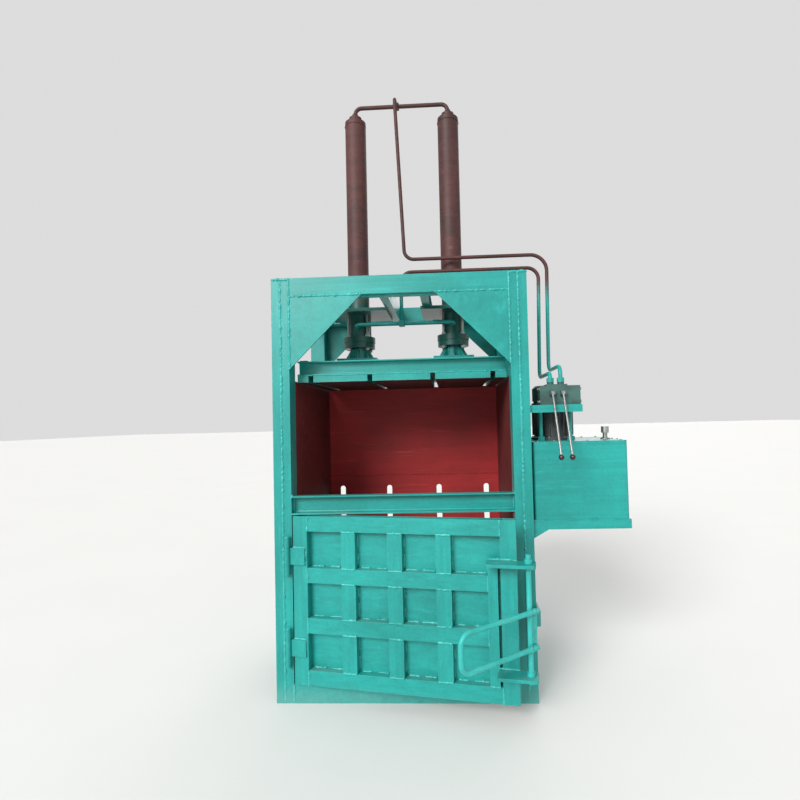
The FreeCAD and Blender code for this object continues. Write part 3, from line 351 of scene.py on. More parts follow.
chromeTones = (0.72, 0.73, 0.74, 1), (0.45, 0.44, 0.42, 1)
zincTones = (0.36, 0.37, 0.35, 1), (0.13, 0.13, 0.11, 1)
leverTones = (0.42, 0.42, 0.41, 1), (0.20, 0.19, 0.17, 1)
motorTones = (0.050, 0.058, 0.062, 1), (0.026, 0.030, 0.033, 1)
valveTones = (0.035, 0.105, 0.090, 1), (0.018, 0.050, 0.044, 1)
knobTones = (0.045, 0.012, 0.015, 1), (0.028, 0.008, 0.010, 1)
paints = {
    "across": enamelFinish("enamelAcross", "x"),
    "upright": enamelFinish("enamelUpright", "z"),
    "deepWays": enamelFinish("enamelFrontToBack", "y"),
    "even": enamelFinish("enamelEven", "even"),
    # the latch parts' paler teal is partly painted light; the rubbed grip is wear
    "workedAndLit": enamelFinish("enamelHandledAndLit", "even", handleLitLook, 0.0, 0.08, handleCoat, 0.30),
    # weld beads in a paler teal: a painted highlight
    "beads": enamelFinish("enamelOnWeldsWithPaintedHighlight", "even", beadHighlightLook, 0.6, 0.08),
    # painted shade on the cylinder heads and their mount plates
    "paintedShade": enamelFinish("enamelInPaintedShade", "even", paintedShadeLook),
    # the primer inside the side walls carries painted shade
    "sideWalls": twoSidedFinish("wallEnamelAndShadedPrimer", "x", insideSides, sidePrimerInPaintedShade),
    "doorPlate": twoSidedFinish("doorEnamelAndPrimer", "x", insideDoor),
    "backWall": twoSidedFinish("backEnamelAndPrimer", "x", insideBack),
    "pads": twoSidedFinish("padEnamelAndPrimer", "x", underside, ironRed),
    # the tubes' teal below the top beams is the darker painted-shade teal
    "tubes": twoSidedFinish("tubePrimerAndOversprayInPaintedShade", "z", aboveFrame, ironRed, paintedShadeLook),
    "pipes": twoSidedFinish("pipePrimerAndEnamel", "z", aboveFrame, ironRed),
    "floor": primerFinish("floorPrimer"),
    "redBeads": primerFinish("primerOnWelds"),
    "chrome": metalFinish("rodChrome", *chromeTones, 0.07, (1, 1, 0.1), 0.25),
    "zinc": metalFinish("zincSteel", *zincTones, 0.34, tarnish=0.7),
    "lever": metalFinish("leverPlating", *leverTones, 0.24, tarnish=0.5),
    "motor": castFinish("motorEnamel", *motorTones, 0.36, 150, 0.0006),
    "valve": castFinish("valvePaint", *valveTones, 0.42),
    "phenolic": castFinish("knobPhenolic", *knobTones, 0.14, 60, 0.0002),
}
nodePaint = {
    "across": ["top_front_beam", "top_rear_beam", "sill_beam", "door_rails", "back_ribs",
               "platen_channels", "platen_plate", "platen_cross_beams", "valve_bracket",
               "floor_joists", "tank_shelf", "oil_tank", "tank_lid"],
    "upright": ["front_post_left", "front_post_right", "rear_posts", "door_stiles", "door_ribs",
                "hinge_post_knuckles"],
    "deepWays": ["top_side_beams", "base_beams", "side_ribs", "cylinder_beams"],
    "even": ["corner_gussets", "post_caps", "platen_stands", "hinge_leaves", "latch_ears",
             "latch_keeper"],
    "paintedShade": ["cylinder_mount_plates", "cylinder_heads"],
    "workedAndLit": ["latch_shaft", "latch_handle", "latch_cam", "hinge_pins"],
    "sideWalls": ["side_wall_left", "side_wall_right"],
    "doorPlate": ["door_plate"],
    "backWall": ["back_wall"],
    "pads": ["platen_pads"],
    "tubes": ["cylinder_tubes", "cylinder_caps"],
    "pipes": ["upper_header_pipe", "lower_header_pipe", "upper_feed_pipe", "lower_feed_pipe",
              "tank_pipes"],
    "floor": ["floor_plate", "floor_pads"],
    "chrome": ["piston_rods"],
    "zinc": ["cylinder_studs", "filler_breather"],
    "lever": ["valve_lever_left", "valve_lever_right"],
    "motor": ["motor", "motor_fan_cowl", "terminal_box"],
    "valve": ["valve_sections"],
    "phenolic": ["lever_knob_left", "lever_knob_right"],
}
for paint, names in nodePaint.items():
    for name in names:
        target = nodes[name]
        if not target.material_slots:
            target.data.materials.append(None)
        for slot in target.material_slots:
            slot.material = paints[paint]
print("stage: paints on", sum(len(names) for names in nodePaint.values()), "nodes")


class Recipe:
    # a Geometry Nodes tree with named inputs, ended by Realize Instances and Set Material
    def __init__(self, name, inputs):
        self.tree = bpy.data.node_groups.new(name, "GeometryNodeTree")
        face = self.tree.interface
        face.new_socket("Geometry", in_out="INPUT", socket_type="NodeSocketGeometry")
        for label, (kind, value) in inputs.items():
            socket = face.new_socket(label, in_out="INPUT", socket_type="NodeSocket" + kind)
            if value is not None:
                socket.default_value = value
        face.new_socket("Geometry", in_out="OUTPUT", socket_type="NodeSocketGeometry")
        self.given = self.tree.nodes.new("NodeGroupInput").outputs

    def node(self, kind, settings, values, output=0):
        # a value may be a socket, a list of sockets or a plain value
        made = self.tree.nodes.new(kind)
        for name, value in settings.items():
            setattr(made, name, value)
        for name, value in values.items():
            for one in value if isinstance(value, list) else [value]:
                if isinstance(one, bpy.types.NodeSocket):
                    self.tree.links.new(one, made.inputs[name])
                else:
                    made.inputs[name].default_value = one
        return made.outputs[output]

    def calc(self, operation, *values):
        return self.node("ShaderNodeMath", {"operation": operation}, dict(enumerate(values)))

    def endWith(self, geometry):
        plain = self.node("GeometryNodeRealizeInstances", {}, {0: geometry})
        coated = self.node("GeometryNodeSetMaterial", {}, {
            "Geometry": plain, "Material": self.given["Finish"]})
        self.tree.links.new(coated, self.tree.nodes.new("NodeGroupOutput").inputs[0])
        return self


def beadRecipe():
    # a run of rings of uneven size along each line: a weld bead, or wire with no unevenness
    made = Recipe("beadRecipe", {
        "Width": ("Float", 0.007), "Step": ("Float", 0.006), "Unevenness": ("Float", 0.3),
        "Lumps": ("Float", 75.0), "Sides": ("Int", 6), "Seed": ("Float", 1.0),
        "Finish": ("Material", None)})
    given = made.given
    line = made.node("GeometryNodeMeshToCurve", {}, {0: given["Geometry"]})
    line = made.node("GeometryNodeResampleCurve", {"mode": "LENGTH"}, {
        "Curve": line, "Length": given["Step"]})
    wander = {"Scale": given["Lumps"], "Detail": 1.0, "W": given["Seed"]}
    lumps = made.node("ShaderNodeTexNoise", {"noise_dimensions": "4D"}, wander, "Fac")
    shift = made.node("ShaderNodeTexNoise", {"noise_dimensions": "4D"}, wander, "Color")
    swing = made.calc("MULTIPLY", given["Unevenness"], 4.0)
    lumps = made.calc("SUBTRACT", lumps, 0.5)
    size = made.calc("MULTIPLY_ADD", lumps, swing, 1.0)
    reach = made.calc("MULTIPLY", given["Width"], given["Unevenness"])
    shift = made.node("ShaderNodeVectorMath", {"operation": "SUBTRACT"}, {0: shift, 1: (0.5, 0.5, 0.5)})
    shift = made.node("ShaderNodeVectorMath", {"operation": "SCALE"}, {0: shift, "Scale": reach})
    line = made.node("GeometryNodeSetPosition", {}, {"Geometry": line, "Offset": shift})
    half = made.calc("MULTIPLY", given["Width"], 0.5)
    profile = made.node("GeometryNodeCurvePrimitiveCircle", {}, {
        "Resolution": given["Sides"], "Radius": half})
    swept = made.node("GeometryNodeCurveToMesh", {}, {
        "Curve": line, "Profile Curve": profile, "Scale": size, "Fill Caps": True})
    return made.endWith(swept)


def boltRecipe():
    # a hexagon head on a washer at every point, its axis and size read from the points;
    # all lengths are shares of the head's radius
    made = Recipe("boltRecipe", {
        "Head height": ("Float", 0.62), "Washer": ("Float", 1.16), "Seed": ("Int", 1),
        "Finish": ("Material", None)})
    given = made.given
    seat, sixthTurn = 0.12, 1.04
    halfHigh = made.calc("MULTIPLY", given["Head height"], 0.5)
    lift = made.calc("ADD", halfHigh, seat)
    top = made.calc("ADD", given["Head height"], seat)
    head = made.node("GeometryNodeMeshCylinder", {}, {
        "Vertices": 6, "Radius": 1.0, "Depth": given["Head height"]})
    place = made.node("ShaderNodeCombineXYZ", {}, {"Z": lift})
    head = made.node("GeometryNodeTransform", {}, {"Geometry": head, "Translation": place})
    crown = made.node("GeometryNodeMeshCone", {}, {
        "Vertices": 12, "Radius Top": 0.66, "Radius Bottom": 0.84, "Depth": 0.08})
    place = made.node("ShaderNodeCombineXYZ", {}, {"Z": top})
    crown = made.node("GeometryNodeTransform", {}, {"Geometry": crown, "Translation": place})
    washer = made.node("GeometryNodeMeshCylinder", {}, {
        "Vertices": 14, "Radius": given["Washer"], "Depth": 0.13})
    washer = made.node("GeometryNodeTransform", {}, {"Geometry": washer, "Translation": (0, 0, 0.06)})
    bolt = made.node("GeometryNodeJoinGeometry", {}, {0: [head, crown, washer]})
    axis = made.node("GeometryNodeInputNamedAttribute", {"data_type": "FLOAT_VECTOR"}, {"Name": "axis"})
    size = made.node("GeometryNodeInputNamedAttribute", {"data_type": "FLOAT"}, {"Name": "size"})
    turn = made.node("FunctionNodeAlignRotationToVector", {"axis": "Z"}, {"Vector": axis})
    spread = made.node("GeometryNodeInstanceOnPoints", {}, {
        "Points": given["Geometry"], "Instance": bolt, "Rotation": turn, "Scale": size})
    spin = made.node("FunctionNodeRandomValue", {"data_type": "FLOAT"}, {
        2: 0.0, 3: sixthTurn, "Seed": given["Seed"]}, 1)
    spin = made.node("ShaderNodeCombineXYZ", {}, {"Z": spin})
    spread = made.node("GeometryNodeRotateInstances", {}, {"Instances": spread, "Rotation": spin})
    return made.endWith(spread)


recipes = {"bead": beadRecipe(), "bolt": boltRecipe()}


def linkPiece(name, mesh, body):
    piece = bpy.data.objects.new(name, mesh)
    bpy.context.scene.collection.objects.link(piece)
    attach(piece, body)
    return piece


def grow(recipe, name, seedMesh, settings, body):
    # runs a recipe on a mesh of lines or points and keeps the result as a plain mesh
    holder = bpy.data.objects.new(name + "Seed", seedMesh)
    bpy.context.scene.collection.objects.link(holder)
    modifier = holder.modifiers.new("grow", "NODES")
    modifier.node_group = recipes[recipe].tree
    for item in recipes[recipe].tree.interface.items_tree:
        if item.in_out == "INPUT" and item.name in settings:
            modifier[item.identifier] = settings[item.name]
    bpy.context.view_layer.update()
    shown = holder.evaluated_get(bpy.context.evaluated_depsgraph_get())
    mesh = bpy.data.meshes.new_from_object(shown)
    mesh.name = name
    holder.modifiers.remove(modifier)
    bpy.data.objects.remove(holder)
    return linkPiece(name, mesh, body)


def growBeads(name, lines, look, body, paint="beads"):
    points, edges = [], []
    for line in lines:
        start = len(points)
        points += line
        edges += [(start + i, start + i + 1) for i in range(len(line) - 1)]
    mesh = bpy.data.meshes.new(name + "Lines")
    mesh.from_pydata(points, edges, [])
    grow("bead", name, mesh, {
        "Width": look["width"], "Step": look["step"], "Sides": 6, "Unevenness": look["unevenness"],
        "Seed": look["seed"], "Finish": paints[paint]}, body)


def growBolts(name, places, shape, body, paint):
    # places holds (point, axis, size)
    mesh = bpy.data.meshes.new(name + "Points")
    mesh.from_pydata([point for point, axis, size in places], [], [])
    mesh.attributes.new("axis", "FLOAT_VECTOR", "POINT")
    mesh.attributes.new("size", "FLOAT", "POINT")
    for i, (point, axis, size) in enumerate(places):
        mesh.attributes["axis"].data[i].vector = axis
        mesh.attributes["size"].data[i].value = size
    grow("bolt", name, mesh, dict(shape, Finish=paints[paint]), body)


def straight(a, b):
    return [Vector(a), Vector(b)]


chance = random.Random(31)


def stitched(a, b, look):
    # short beads of uneven length with gaps between them
    a, b = Vector(a), Vector(b)
    count = max(1, round((b - a).length / look["pitch"]))
    way = (b - a).normalized()
    lines = []
    for i in range(count):
        middle = a.lerp(b, (i + 0.5) / count)
        half = min(look["stitch"] * chance.uniform(0.35, 0.75), 0.45 * (b - a).length / count)
        lines.append([middle - way * half, middle + way * half])
    return lines


def ring(centre, axis, radius, count):
    axis = Vector(axis).normalized()
    side = axis.orthogonal().normalized()
    other = axis.cross(side)
    turns = [2 * math.pi * i / count for i in range(count + 1)]
    return [Vector(centre) + (side * math.cos(t) + other * math.sin(t)) * radius for t in turns]


def mirrorX(lines):
    return lines + [[Vector((-p.x, p.y, p.z)) for p in line] for line in lines]


def cylinderCentre(side):
    # side is -1 for the left cylinder and 1 for the right one
    return Vector((side * 0.3, 0.046, 0))


frameWelds = {"width": 0.0150, "step": 0.0055, "unevenness": 0.55, "seed": 4.0,
              "sink": 0.003,  # how far a flush seam's bead lies below the faces
              "postFoot": 0.02, "plinthLow": 0.008, "plinthHigh": 0.1, "sillFlange": 0.043}


def frameSeams():
    look = frameWelds
    postLow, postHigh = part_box("front_post_right")
    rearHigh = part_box("rear_posts")[1]
    beamLow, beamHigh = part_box("top_front_beam")
    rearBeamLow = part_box("top_rear_beam")[0]
    sillLow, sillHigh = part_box("sill_beam")
    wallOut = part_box("side_wall_right")[1].x
    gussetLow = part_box("corner_gussets")[0].z
    front, rear = postLow.y + look["sink"], rearHigh.y - look["sink"]
    inner, outer = postLow.x, postHigh.x - look["sink"]
    top = beamHigh.z - look["sink"]
    middle = (postLow.x + postHigh.x) / 2
    rearMiddle = (wallOut + rearHigh.x) / 2
    leg = beamLow.z - gussetLow
    flange = sillLow.y + look["sillFlange"]
    seams = mirrorX([
        straight((middle, front, look["postFoot"]), (middle, front, postHigh.z)),
        straight((rearMiddle, rear, look["postFoot"]), (rearMiddle, rear, rearHigh.z)),
        straight((inner, front, beamLow.z), (inner, front, top)),
        straight((inner, front, top), (inner, beamHigh.y, top)),
        straight((inner, front, gussetLow), (inner, front, beamLow.z)),
        straight((inner - leg, front, beamLow.z), (inner, front, beamLow.z)),
        straight((inner, flange, sillLow.z), (inner, flange, sillHigh.z)),
        straight((inner, sillLow.y, sillHigh.z), (inner, flange, sillHigh.z)),
        straight((inner, front, look["plinthLow"]), (inner, front, look["plinthHigh"])),
        straight((postLow.x, front, postHigh.z), (outer, front, postHigh.z)),
        straight((outer, front, postHigh.z), (outer, postHigh.y, postHigh.z)),
        straight((wallOut, rear, beamLow.z), (wallOut, rear, top)),
    ])
    for y in ((beamLow.y + beamHigh.y) / 2, (rearBeamLow.y + rearHigh.y) / 2):
        for z in (top, beamLow.z):
            seams.append(straight((-inner, y, z), (inner, y, z)))
    return seams


ribWelds = {"width": 0.0105, "step": 0.0055, "unevenness": 0.55, "seed": 4.0, "stitch": 0.055,
            "pitch": 0.17, "channel": 0.080, "sideRibs": (0.378, 0.880, 1.262, 1.640),
            "backRibs": (1.180, 1.640), "uprights": (-0.3445, 0.0, 0.3445), "foot": 0.1}


def ribSeams():
    # along both edges of each rib of the side walls and the back wall
    look = ribWelds
    wallOut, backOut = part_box("side_wall_right")[1].x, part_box("back_wall")[1].y
    ribLow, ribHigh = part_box("side_ribs")
    size, foot, head = look["channel"], look["foot"], look["backRibs"][0]
    seams = []
    for z in look["sideRibs"]:
        for edge in (z, z + size):
            seams += stitched((wallOut, ribLow.y, edge), (wallOut, ribHigh.y, edge), look)
    seams = mirrorX(seams)
    for z in look["backRibs"]:
        for edge in (z, z + size):
            seams += stitched((-wallOut, backOut, edge), (wallOut, backOut, edge), look)
    for x in look["uprights"]:
        for edge in (x - size / 2, x + size / 2):
            seams += stitched((edge, backOut, foot), (edge, backOut, head), look)
    return seams


fittingWelds = {"width": 0.0065, "step": 0.0045, "unevenness": 0.55, "seed": 9.0, "stitch": 0.03,
                "pitch": 0.11, "lug": 0.054, "lugStep": 0.144, "lugPair": 0.198, "shelfEdge": 0.098,
                "shelfPlate": 0.008, "shelfStart": 0.02, "shelfEnd": 0.01, "bracket": 0.04,
                "tube": 0.0665, "port": 0.0135, "portHeight": 2.098}


def fittingSeams():
    # keeper, hinge lugs, tank shelf, valve bracket, cylinder tubes and pipe ends
    look = fittingWelds
    postLow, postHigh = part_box("front_post_right")
    front, postSide = postLow.y, postHigh.x
    low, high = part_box("latch_keeper")
    seams = [
        straight((postSide, high.y, low.z), (postSide, high.y, high.z)),
        straight((postSide, front, high.z), (postSide, high.y, high.z)),
        straight((postSide, front, low.z), (postSide, high.y, low.z)),
    ]
    low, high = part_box("hinge_post_knuckles")
    for base in (low.z, low.z + look["lugStep"], high.z - look["lugPair"], high.z - look["lug"]):
        for x in (low.x, high.x):
            seams.append(straight((x, front, base), (x, front, base + look["lug"])))
    low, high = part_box("tank_shelf")
    for y in (low.y, low.y + look["shelfPlate"]):
        seams.append(straight((postSide, y, high.z - look["shelfEdge"]), (postSide, y, high.z)))
    seams += stitched((postSide + look["shelfStart"], low.y, high.z),
                      (high.x - look["shelfEnd"], low.y, high.z), look)
    low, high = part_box("valve_bracket")
    seams.append(straight((low.x, low.y, high.z - look["bracket"]), (low.x, low.y, high.z)))
    seams.append(straight((low.x, low.y, high.z), (low.x, high.y, high.z)))
    tubeLow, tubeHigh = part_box("cylinder_tubes")
    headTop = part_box("cylinder_heads")[1].z
    for side in (-1, 1):
        centre = cylinderCentre(side)
        for z in (headTop, tubeHigh.z):
            seams.append(ring(centre + Vector((0, 0, z)), (0, 0, 1), look["tube"], 40))
        seams.append(ring((centre.x, tubeLow.y, look["portHeight"]), (0, 1, 0), look["port"], 20))
    return seams


chamberWelds = {"width": 0.005, "step": 0.006, "unevenness": 0.55, "seed": 17.0, "stitch": 0.05,
                "pitch": 0.16, "seam": 1.111, "inset": 0.001, "foot": 0.02, "head": 0.05}


def chamberSeams():
    # across the back wall where its two plates meet, and up the rear corners
    look = chamberWelds
    corner, seam = wallInner - look["inset"], look["seam"]
    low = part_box("floor_pads")[1].z + look["foot"]
    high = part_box("back_wall")[1].z - look["head"]
    seams = [straight((-corner, backInner, seam), (corner, backInner, seam))]
    for x in (-corner, corner):
        seams += stitched((x, backInner, low), (x, backInner, high), look)
    return seams


growBeads("frameWeldBeads", frameSeams(), frameWelds, "frame")
growBeads("ribWeldBeads", ribSeams(), ribWelds, "frame")
growBeads("fittingWeldBeads", fittingSeams(), fittingWelds, "frame", "pipes")
growBeads("chamberWeldBeads", chamberSeams(), chamberWelds, "frame", "redBeads")
print("stage: weld beads on the frame")


doorWelds = {"width": 0.0125, "step": 0.0050, "unevenness": 0.6, "seed": 12.0, "sink": 0.002,
             "stitch": 0.055, "pitch": 0.085}
# the shut door: its edges, its faces and what stands on it
doorForm = {
    "left": -0.595, "right": 0.589, "bottom": 0.104, "top": 0.996, "front": -0.456, "plate": -0.4145,
    "channel": 0.080, "railTops": (0.723, 0.458), "ribs": (0.312, 0.566, 0.820), "ribHalf": 0.037,
    "panelHalf": 0.039, "latchBar": 0.446, "barWidth": 0.049, "ears": ((0.260, 1.084), (0.788, 1.041)),
    "earPlate": 0.015, "hinges": (0.300, 0.784), "leafHalf": 0.044, "leafEnd": -0.525,
}


def swung(lines):
    # from the shut door's place to the rest pose
    turn = Matrix.Rotation(-doorAngle, 4, "Z")
    return [[hingeLine + turn @ (p - hingeLine) for p in line] for line in lines]


def doorSeams():
    form = doorForm
    left, right, bottom, top = form["left"], form["right"], form["bottom"], form["top"]
    front, plate = form["front"] + doorWelds["sink"], form["plate"]
    size, bar, rib, panel = form["channel"], form["latchBar"], form["ribHalf"], form["panelHalf"]
    upper, lower = form["railTops"]
    railLeft, railRight = left + size, right - size
    ribs = [left + centre for centre in form["ribs"]]
    seams = []
    for low, high in ((bottom + size, lower - size), (lower, upper - size), (upper, top - size)):
        for x in ribs:
            for z in (low, high):
                seams.append(straight((x - rib, front, z), (x + rib, front, z)))
            for edge in (x - panel, x + panel):
                seams += stitched((edge, plate, low), (edge, plate, high), doorWelds)
        edges = [railLeft] + [x + way for x in ribs for way in (-panel, panel)] + [bar]
        for start, end in zip(edges[::2], edges[1::2]):
            for z in (low, high):
                seams += stitched((start, plate, z), (end, plate, z), doorWelds)
    for high, end in ((top, railRight), (bottom + size, railRight), (upper, bar), (lower, bar)):
        for x in (railLeft, end):
            seams.append(straight((x, front, high - size), (x, front, high)))
    seams.append(straight((bar, front, bottom + size), (bar + form["barWidth"], front, bottom + size)))
    for low, start in form["ears"]:
        x, high = left + start, low + form["earPlate"]
        for z in (low, high):
            seams.append(straight((x, front, z), (right, front, z)))
        seams.append(straight((x, front, low), (x, front, high)))
    for middle in form["hinges"]:
        low, high = middle - form["leafHalf"], middle + form["leafHalf"]
        for z in (low, high):
            seams.append(straight((left, front, z), (form["leafEnd"], front, z)))
        seams.append(straight((form["leafEnd"], front, low), (form["leafEnd"], front, high)))
    return swung(seams)


latchWelds = {"width": 0.0095, "step": 0.0050, "unevenness": 0.6, "seed": 5.0}
# the closed latch: its shaft's place, the handle's two ends and the cam plate
latchForm = {"shaft": (0.645, -0.501, 0.0), "handleEnds": (0.408, 0.579), "endHalf": 0.0135,
             "endBack": 0.0185, "endRing": 0.0115, "camHalf": 0.007, "camFace": 0.0118,
             "camLow": 0.424, "camHigh": 0.563}


def latchSeams():
    form = latchForm
    closed = Vector(form["shaft"])
    seams = []
    for z in form["handleEnds"]:
        for x in (-form["endHalf"], form["endHalf"]):
            place = (closed.x + x, closed.y - form["endBack"], z)
            seams.append(ring(place, (1, 0, 0), form["endRing"], 16))
    face = closed.x + form["camFace"]
    for y in (closed.y - form["camHalf"], closed.y + form["camHalf"]):
        seams.append(straight((face, y, form["camLow"]), (face, y, form["camHigh"])))
    rest = Vector((latchHinge["pos_m"][0], latchHinge["pos_m"][1], 0))
    turn = Matrix.Rotation(latchAngle - doorAngle, 4, "Z")
    return [[rest + turn @ (p - closed) for p in line] for line in seams]


platenWelds = {"width": 0.0075, "step": 0.0050, "unevenness": 0.6, "seed": 21.0}
baseStitches = {"front": {"stitch": 0.05, "pitch": 0.08}, "sides": {"stitch": 0.04, "pitch": 0.08}}
padStitches = {"stitch": 0.075, "pitch": 0.09}
# a stand: its gussets and its base plate
standForm = {"gussets": 8, "gussetHalf": 0.005, "pipe": 0.0525, "reach": 0.0885, "foot": 0.016,
             "head": 0.004, "baseSides": (-0.124, 0.124), "sideRun": (-0.07, 0.16),
             "baseEnds": (-0.078, 0.170), "endRun": (-0.12, 0.12)}


def platenSeams():
    form = standForm
    baseLow, topZ = (corner.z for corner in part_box("platen_stands"))
    foot, head = Vector((0, 0, baseLow + form["foot"])), Vector((0, 0, topZ - form["head"]))
    seams = []
    for side in (-1, 1):
        centre = cylinderCentre(side)
        for i in range(form["gussets"]):
            turn = 2 * math.pi * i / form["gussets"]
            out = Vector((math.cos(turn), math.sin(turn), 0))
            across = Vector((-out.y, out.x, 0)) * form["gussetHalf"]
            for way in (-1, 1):
                near = centre + out * form["pipe"] + across * way
                far = centre + out * form["reach"] + across * way
                seams.append(straight(near + foot, near + head))
                seams.append(straight(near + foot, far + foot))
        for x in form["baseSides"]:
            a, b = ((centre.x + x, y, baseLow) for y in form["sideRun"])
            seams += stitched(a, b, baseStitches["sides"])
        for y in form["baseEnds"]:
            a, b = ((centre.x + x, y, baseLow) for x in form["endRun"])
            seams += stitched(a, b, baseStitches["front"])
    low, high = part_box("platen_pads")
    seams += stitched((low.x, low.y, high.z), (high.x, low.y, high.z), padStitches)
    return seams


growBeads("doorWeldBeads", doorSeams(), doorWelds, "door")
growBeads("latchWeldBeads", latchSeams(), latchWelds, "latch")
growBeads("platenWeldBeads", platenSeams(), platenWelds, "platen")
print("stage: weld beads on the door, latch and platen")


boltShape = {"Head height": 0.62, "Washer": 1.16, "Seed": 3}
fasteners = {
    "motorBolt": {"size": 0.0075, "count": 8, "first": 0.5, "circle": 0.1165, "seat": 0.014},
    "lidScrew": {"size": 0.0058, "inset": 0.016, "corner": 0.03, "gaps": 5},
    "valveNut": {"size": 0.0085, "front": -0.416, "depths": (0.014, 0.056), "heights": (0.018, 0.086)},
    "boxScrew": {"size": 0.0036, "inset": 0.009, "drops": (0.009, 0.087)},
    "breatherScrew": {"size": 0.0032, "count": 6, "first": 0, "circle": 0.0225, "seat": 0.005},
}


def screwCircle(piece, look):
    # around the middle of a piece, seen from above
    low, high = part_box(piece)
    middle = (low + high) / 2
    places = []
    for i in range(look["count"]):
        turn = 2 * math.pi * (i + look["first"]) / look["count"]
        x, y = middle.x + look["circle"] * math.cos(turn), middle.y + look["circle"] * math.sin(turn)
        places.append((Vector((x, y, low.z + look["seat"])), Vector((0, 0, 1)), look["size"]))
    return places


def fastenerPlaces():
    places = screwCircle("motor", fasteners["motorBolt"])
    look = fasteners["lidScrew"]
    low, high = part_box("tank_lid")
    inset, corner, gaps = look["inset"], look["corner"], look["gaps"]
    rims = []
    for i in range(gaps + 1):
        x = low.x + corner + (high.x - low.x - 2 * corner) * i / gaps
        rims += [(x, low.y + inset), (x, high.y - inset)]
    for i in range(1, gaps):
        y = low.y + corner + (high.y - low.y - 2 * corner) * i / gaps
        rims += [(low.x + inset, y), (high.x - inset, y)]
    places += [(Vector((x, y, high.z)), Vector((0, 0, 1)), look["size"]) for x, y in rims]
    look = fasteners["valveNut"]
    low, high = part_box("valve_sections")
    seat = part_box("valve_bracket")[1].z
    for x, way in ((low.x, -1), (high.x, 1)):
        for y in look["depths"]:
            for z in look["heights"]:
                point = Vector((x, look["front"] + y, seat + z))
                places.append((point, Vector((way, 0, 0)), look["size"]))
    look = fasteners["boxScrew"]
    low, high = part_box("terminal_box")
    for x in (low.x + look["inset"], high.x - look["inset"]):
        for drop in look["drops"]:
            places.append((Vector((x, high.y, high.z - drop)), Vector((0, 1, 0)), look["size"]))
    return places + screwCircle("filler_breather", fasteners["breatherScrew"])


growBolts("boltsAndScrews", fastenerPlaces(), boltShape, "frame", "zinc")
print("stage: bolts and screws")


grille = {"width": 0.0028, "step": 0.012, "unevenness": 0.0, "seed": 1.0, "sink": 0.0006,
          "first": 0.020, "pitch": 0.012, "rings": 7, "spokes": 6}


def grilleLines():
    low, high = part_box("motor_fan_cowl")
    centre = Vector(((low.x + high.x) / 2, (low.y + high.y) / 2, high.z - grille["sink"]))
    first, last = grille["first"], grille["first"] + grille["pitch"] * (grille["rings"] - 1)
    lines = [ring(centre, (0, 0, 1), first + grille["pitch"] * i, 40) for i in range(grille["rings"])]
    for i in range(grille["spokes"]):
        turn = 2 * math.pi * i / grille["spokes"]
        out = Vector((math.cos(turn), math.sin(turn), 0))
        lines.append([centre + out * first, centre + out * last])
    return lines


growBeads("cowlGrille", grilleLines(), grille, "frame", "motor")
print("stage: fan cowl grille")


# profile holds (height, radius) as shares of the knob's radius
knobLook = {"segments": 28, "reach": 0.370, "radius": 0.0148, "profile": [
    (-0.90, 0.44), (-0.86, 0.50), (-0.72, 0.70), (-0.50, 0.87), (-0.25, 0.97), (0.0, 0.995),
    (0.25, 0.968), (0.50, 0.866), (0.72, 0.694), (0.87, 0.49), (0.96, 0.27)]}


def turnedMesh(name, centre, axis, look):
    # a closed turned shape around axis
    radius, segments = look["radius"], look["segments"]
    axis = Vector(axis).normalized()
    side = axis.orthogonal().normalized()
    other = axis.cross(side)
    shape = bmesh.new()
    rows = []
    for height, wide in look["profile"]:
        row = []
        for i in range(segments):
            turn = 2 * math.pi * i / segments
            out = side * math.cos(turn) + other * math.sin(turn)
            row.append(shape.verts.new(Vector(centre) + axis * height * radius + out * wide * radius))
        rows.append(row)
    for lower, upper in zip(rows, rows[1:]):
        for i in range(segments):
            j = (i + 1) % segments
            shape.faces.new((lower[i], lower[j], upper[j], upper[i]))
    shape.faces.new(list(reversed(rows[0])))
    shape.faces.new(rows[-1])
    bmesh.ops.recalc_face_normals(shape, faces=shape.faces)
    mesh = bpy.data.meshes.new(name)
    shape.to_mesh(mesh)
    shape.free()
    for face in mesh.polygons:
        face.use_smooth = len(face.vertices) == 4
    return mesh


for side in ("left", "right"):
    tilt = next(joint for joint in frame["joints"] if joint["child"] == "lever_" + side)
    pivot = Vector(tilt["pos_m"])
    low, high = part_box("lever_knob_" + side)
    arm = (low + high) / 2 - pivot
    arm.x = 0
    centre = pivot + arm.normalized() * knobLook["reach"]
    name = "turnedKnob" + side.capitalize()
    knob = linkPiece(name, turnedMesh(name, centre, arm, knobLook), "lever_" + side)
    knob.data.materials.append(paints["phenolic"])
    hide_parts("lever_knob_" + side)
print("stage: lever knobs")


studio = {"floorTone": (0.64, 0.64, 0.63, 1), "floorCloud": (0.68, 0.68, 0.67, 1),
          "floorCorners": [(-60, -30, 0), (60, -30, 0), (60, 90, 0), (-60, 90, 0)],
          "skyTone": (1.0, 1.0, 1.0, 1), "skyPower": 0.72}
# a light with a spread, in degrees, is an even one from far off; one with a size is a soft box
lights = {
    "keyLight": {"place": (-2.9, -5.5, 4.6), "aim": (0, 0, 1.2), "power": 3.4, "spread": 28,
                 "tone": (1.0, 0.985, 0.965)},
    "fillLight": {"place": (4.2, -4.6, 3.2), "aim": (0, 0, 1.4), "power": 0.25, "spread": 40,
                  "tone": (1, 1, 1)},
    "backLight": {"place": (1.5, 5.0, 4.6), "aim": (0, 0, 1.6), "power": 0.8, "spread": 40,
                  "tone": (1, 1, 1)},
    "cornerBox": {"place": (-1.35, -3.2, 2.8), "aim": (-0.4, -0.45, 2.1), "power": 13, "size": 1.3,
                  "tone": (0.86, 0.97, 1.0)},
}


def floorFinish():
    finish = Finish("paleFloor")
    cloud = finish.noise(0.8, 4, 0.6)
    colour = finish.blend(cloud, studio["floorTone"], studio["floorCloud"])
    return finish.finishWith(colour, 0.75 + cloud * 0.1, cloud, 0.0005)


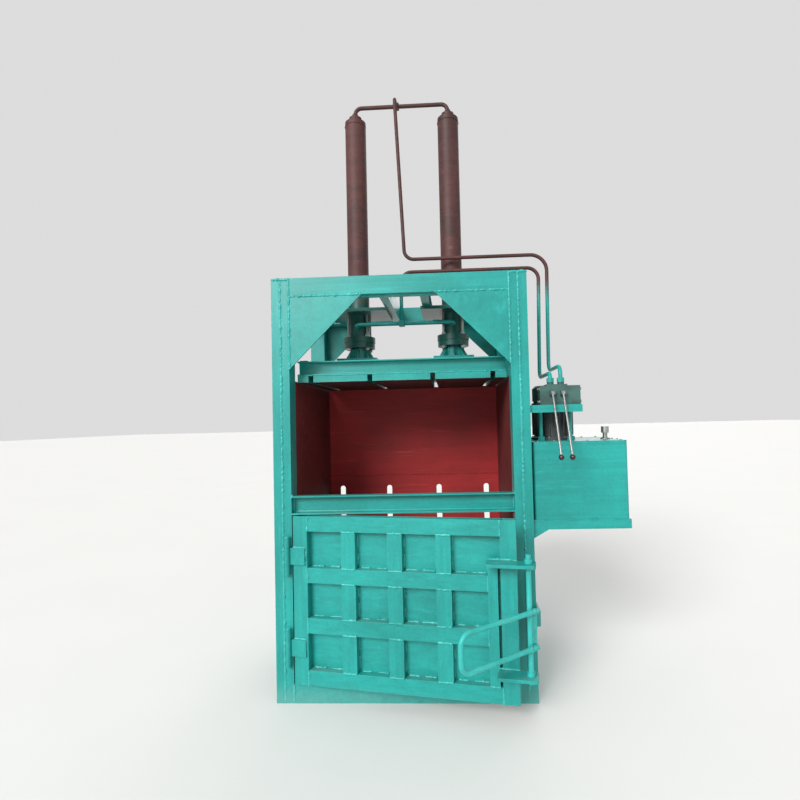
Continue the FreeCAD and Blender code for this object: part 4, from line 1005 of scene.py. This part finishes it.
def hangLight(name, look):
    lamp = bpy.data.lights.new(name, "SUN" if "spread" in look else "AREA")
    if "spread" in look:
        lamp.angle = math.radians(look["spread"])
    else:
        lamp.size = look["size"]
    lamp.energy = look["power"]
    lamp.color = look["tone"]
    holder = bpy.data.objects.new(name, lamp)
    holder.location = look["place"]
    aim = Vector(look["aim"]) - Vector(look["place"])
    holder.rotation_euler = aim.to_track_quat("-Z", "Y").to_euler()
    bpy.context.scene.collection.objects.link(holder)


floorMesh = bpy.data.meshes.new("studioFloor")
floorMesh.from_pydata(studio["floorCorners"], [], [(0, 1, 2, 3)])
floor = bpy.data.objects.new("studioFloor", floorMesh)
floor.data.materials.append(floorFinish())
bpy.context.scene.collection.objects.link(floor)

world = bpy.data.worlds.new("studioSky")
world.use_nodes = True
world.node_tree.nodes["Background"].inputs["Color"].default_value = studio["skyTone"]
world.node_tree.nodes["Background"].inputs["Strength"].default_value = studio["skyPower"]
bpy.context.scene.world = world
bpy.context.scene.view_settings.view_transform = "Standard"
for name, look in lights.items():
    hangLight(name, look)

# focal length and centre are in the photograph's pixels, the angles in radians
cameraLook = {"place": (0.2690, -3.1416, 1.4970), "yaw": 0.0436, "pitch": 0.0296, "roll": -0.0238,
              "focal": 501.1, "centre": (428.1, 405.0), "frame": 800, "sensor": 36.0, "farEnd": 300}


def placeCamera(look):
    yaw, pitch, roll = look["yaw"], look["pitch"], look["roll"]
    right = Vector((math.cos(yaw), math.sin(yaw), 0))
    level = Vector((-math.sin(yaw), math.cos(yaw), 0))
    ahead = level * math.cos(pitch) + Vector((0, 0, 1)) * math.sin(pitch)
    up = Vector((0, 0, 1)) * math.cos(pitch) - level * math.sin(pitch)
    side = right * math.cos(roll) + up * math.sin(roll)
    top = up * math.cos(roll) - right * math.sin(roll)
    data = bpy.data.cameras.new("photoCamera")
    data.sensor_width = look["sensor"]
    data.sensor_fit = "HORIZONTAL"
    data.lens = look["focal"] / look["frame"] * look["sensor"]
    half = look["frame"] / 2
    data.shift_x = -(look["centre"][0] - half) / look["frame"]
    data.shift_y = (look["centre"][1] - half) / look["frame"]
    data.clip_end = look["farEnd"]
    holder = bpy.data.objects.new("photoCamera", data)
    turn = Matrix((side, top, -ahead)).transposed().to_4x4()
    holder.matrix_world = Matrix.Translation(look["place"]) @ turn
    bpy.context.scene.collection.objects.link(holder)
    bpy.context.scene.camera = holder


placeCamera(cameraLook)
print("stage: floor, light and camera")
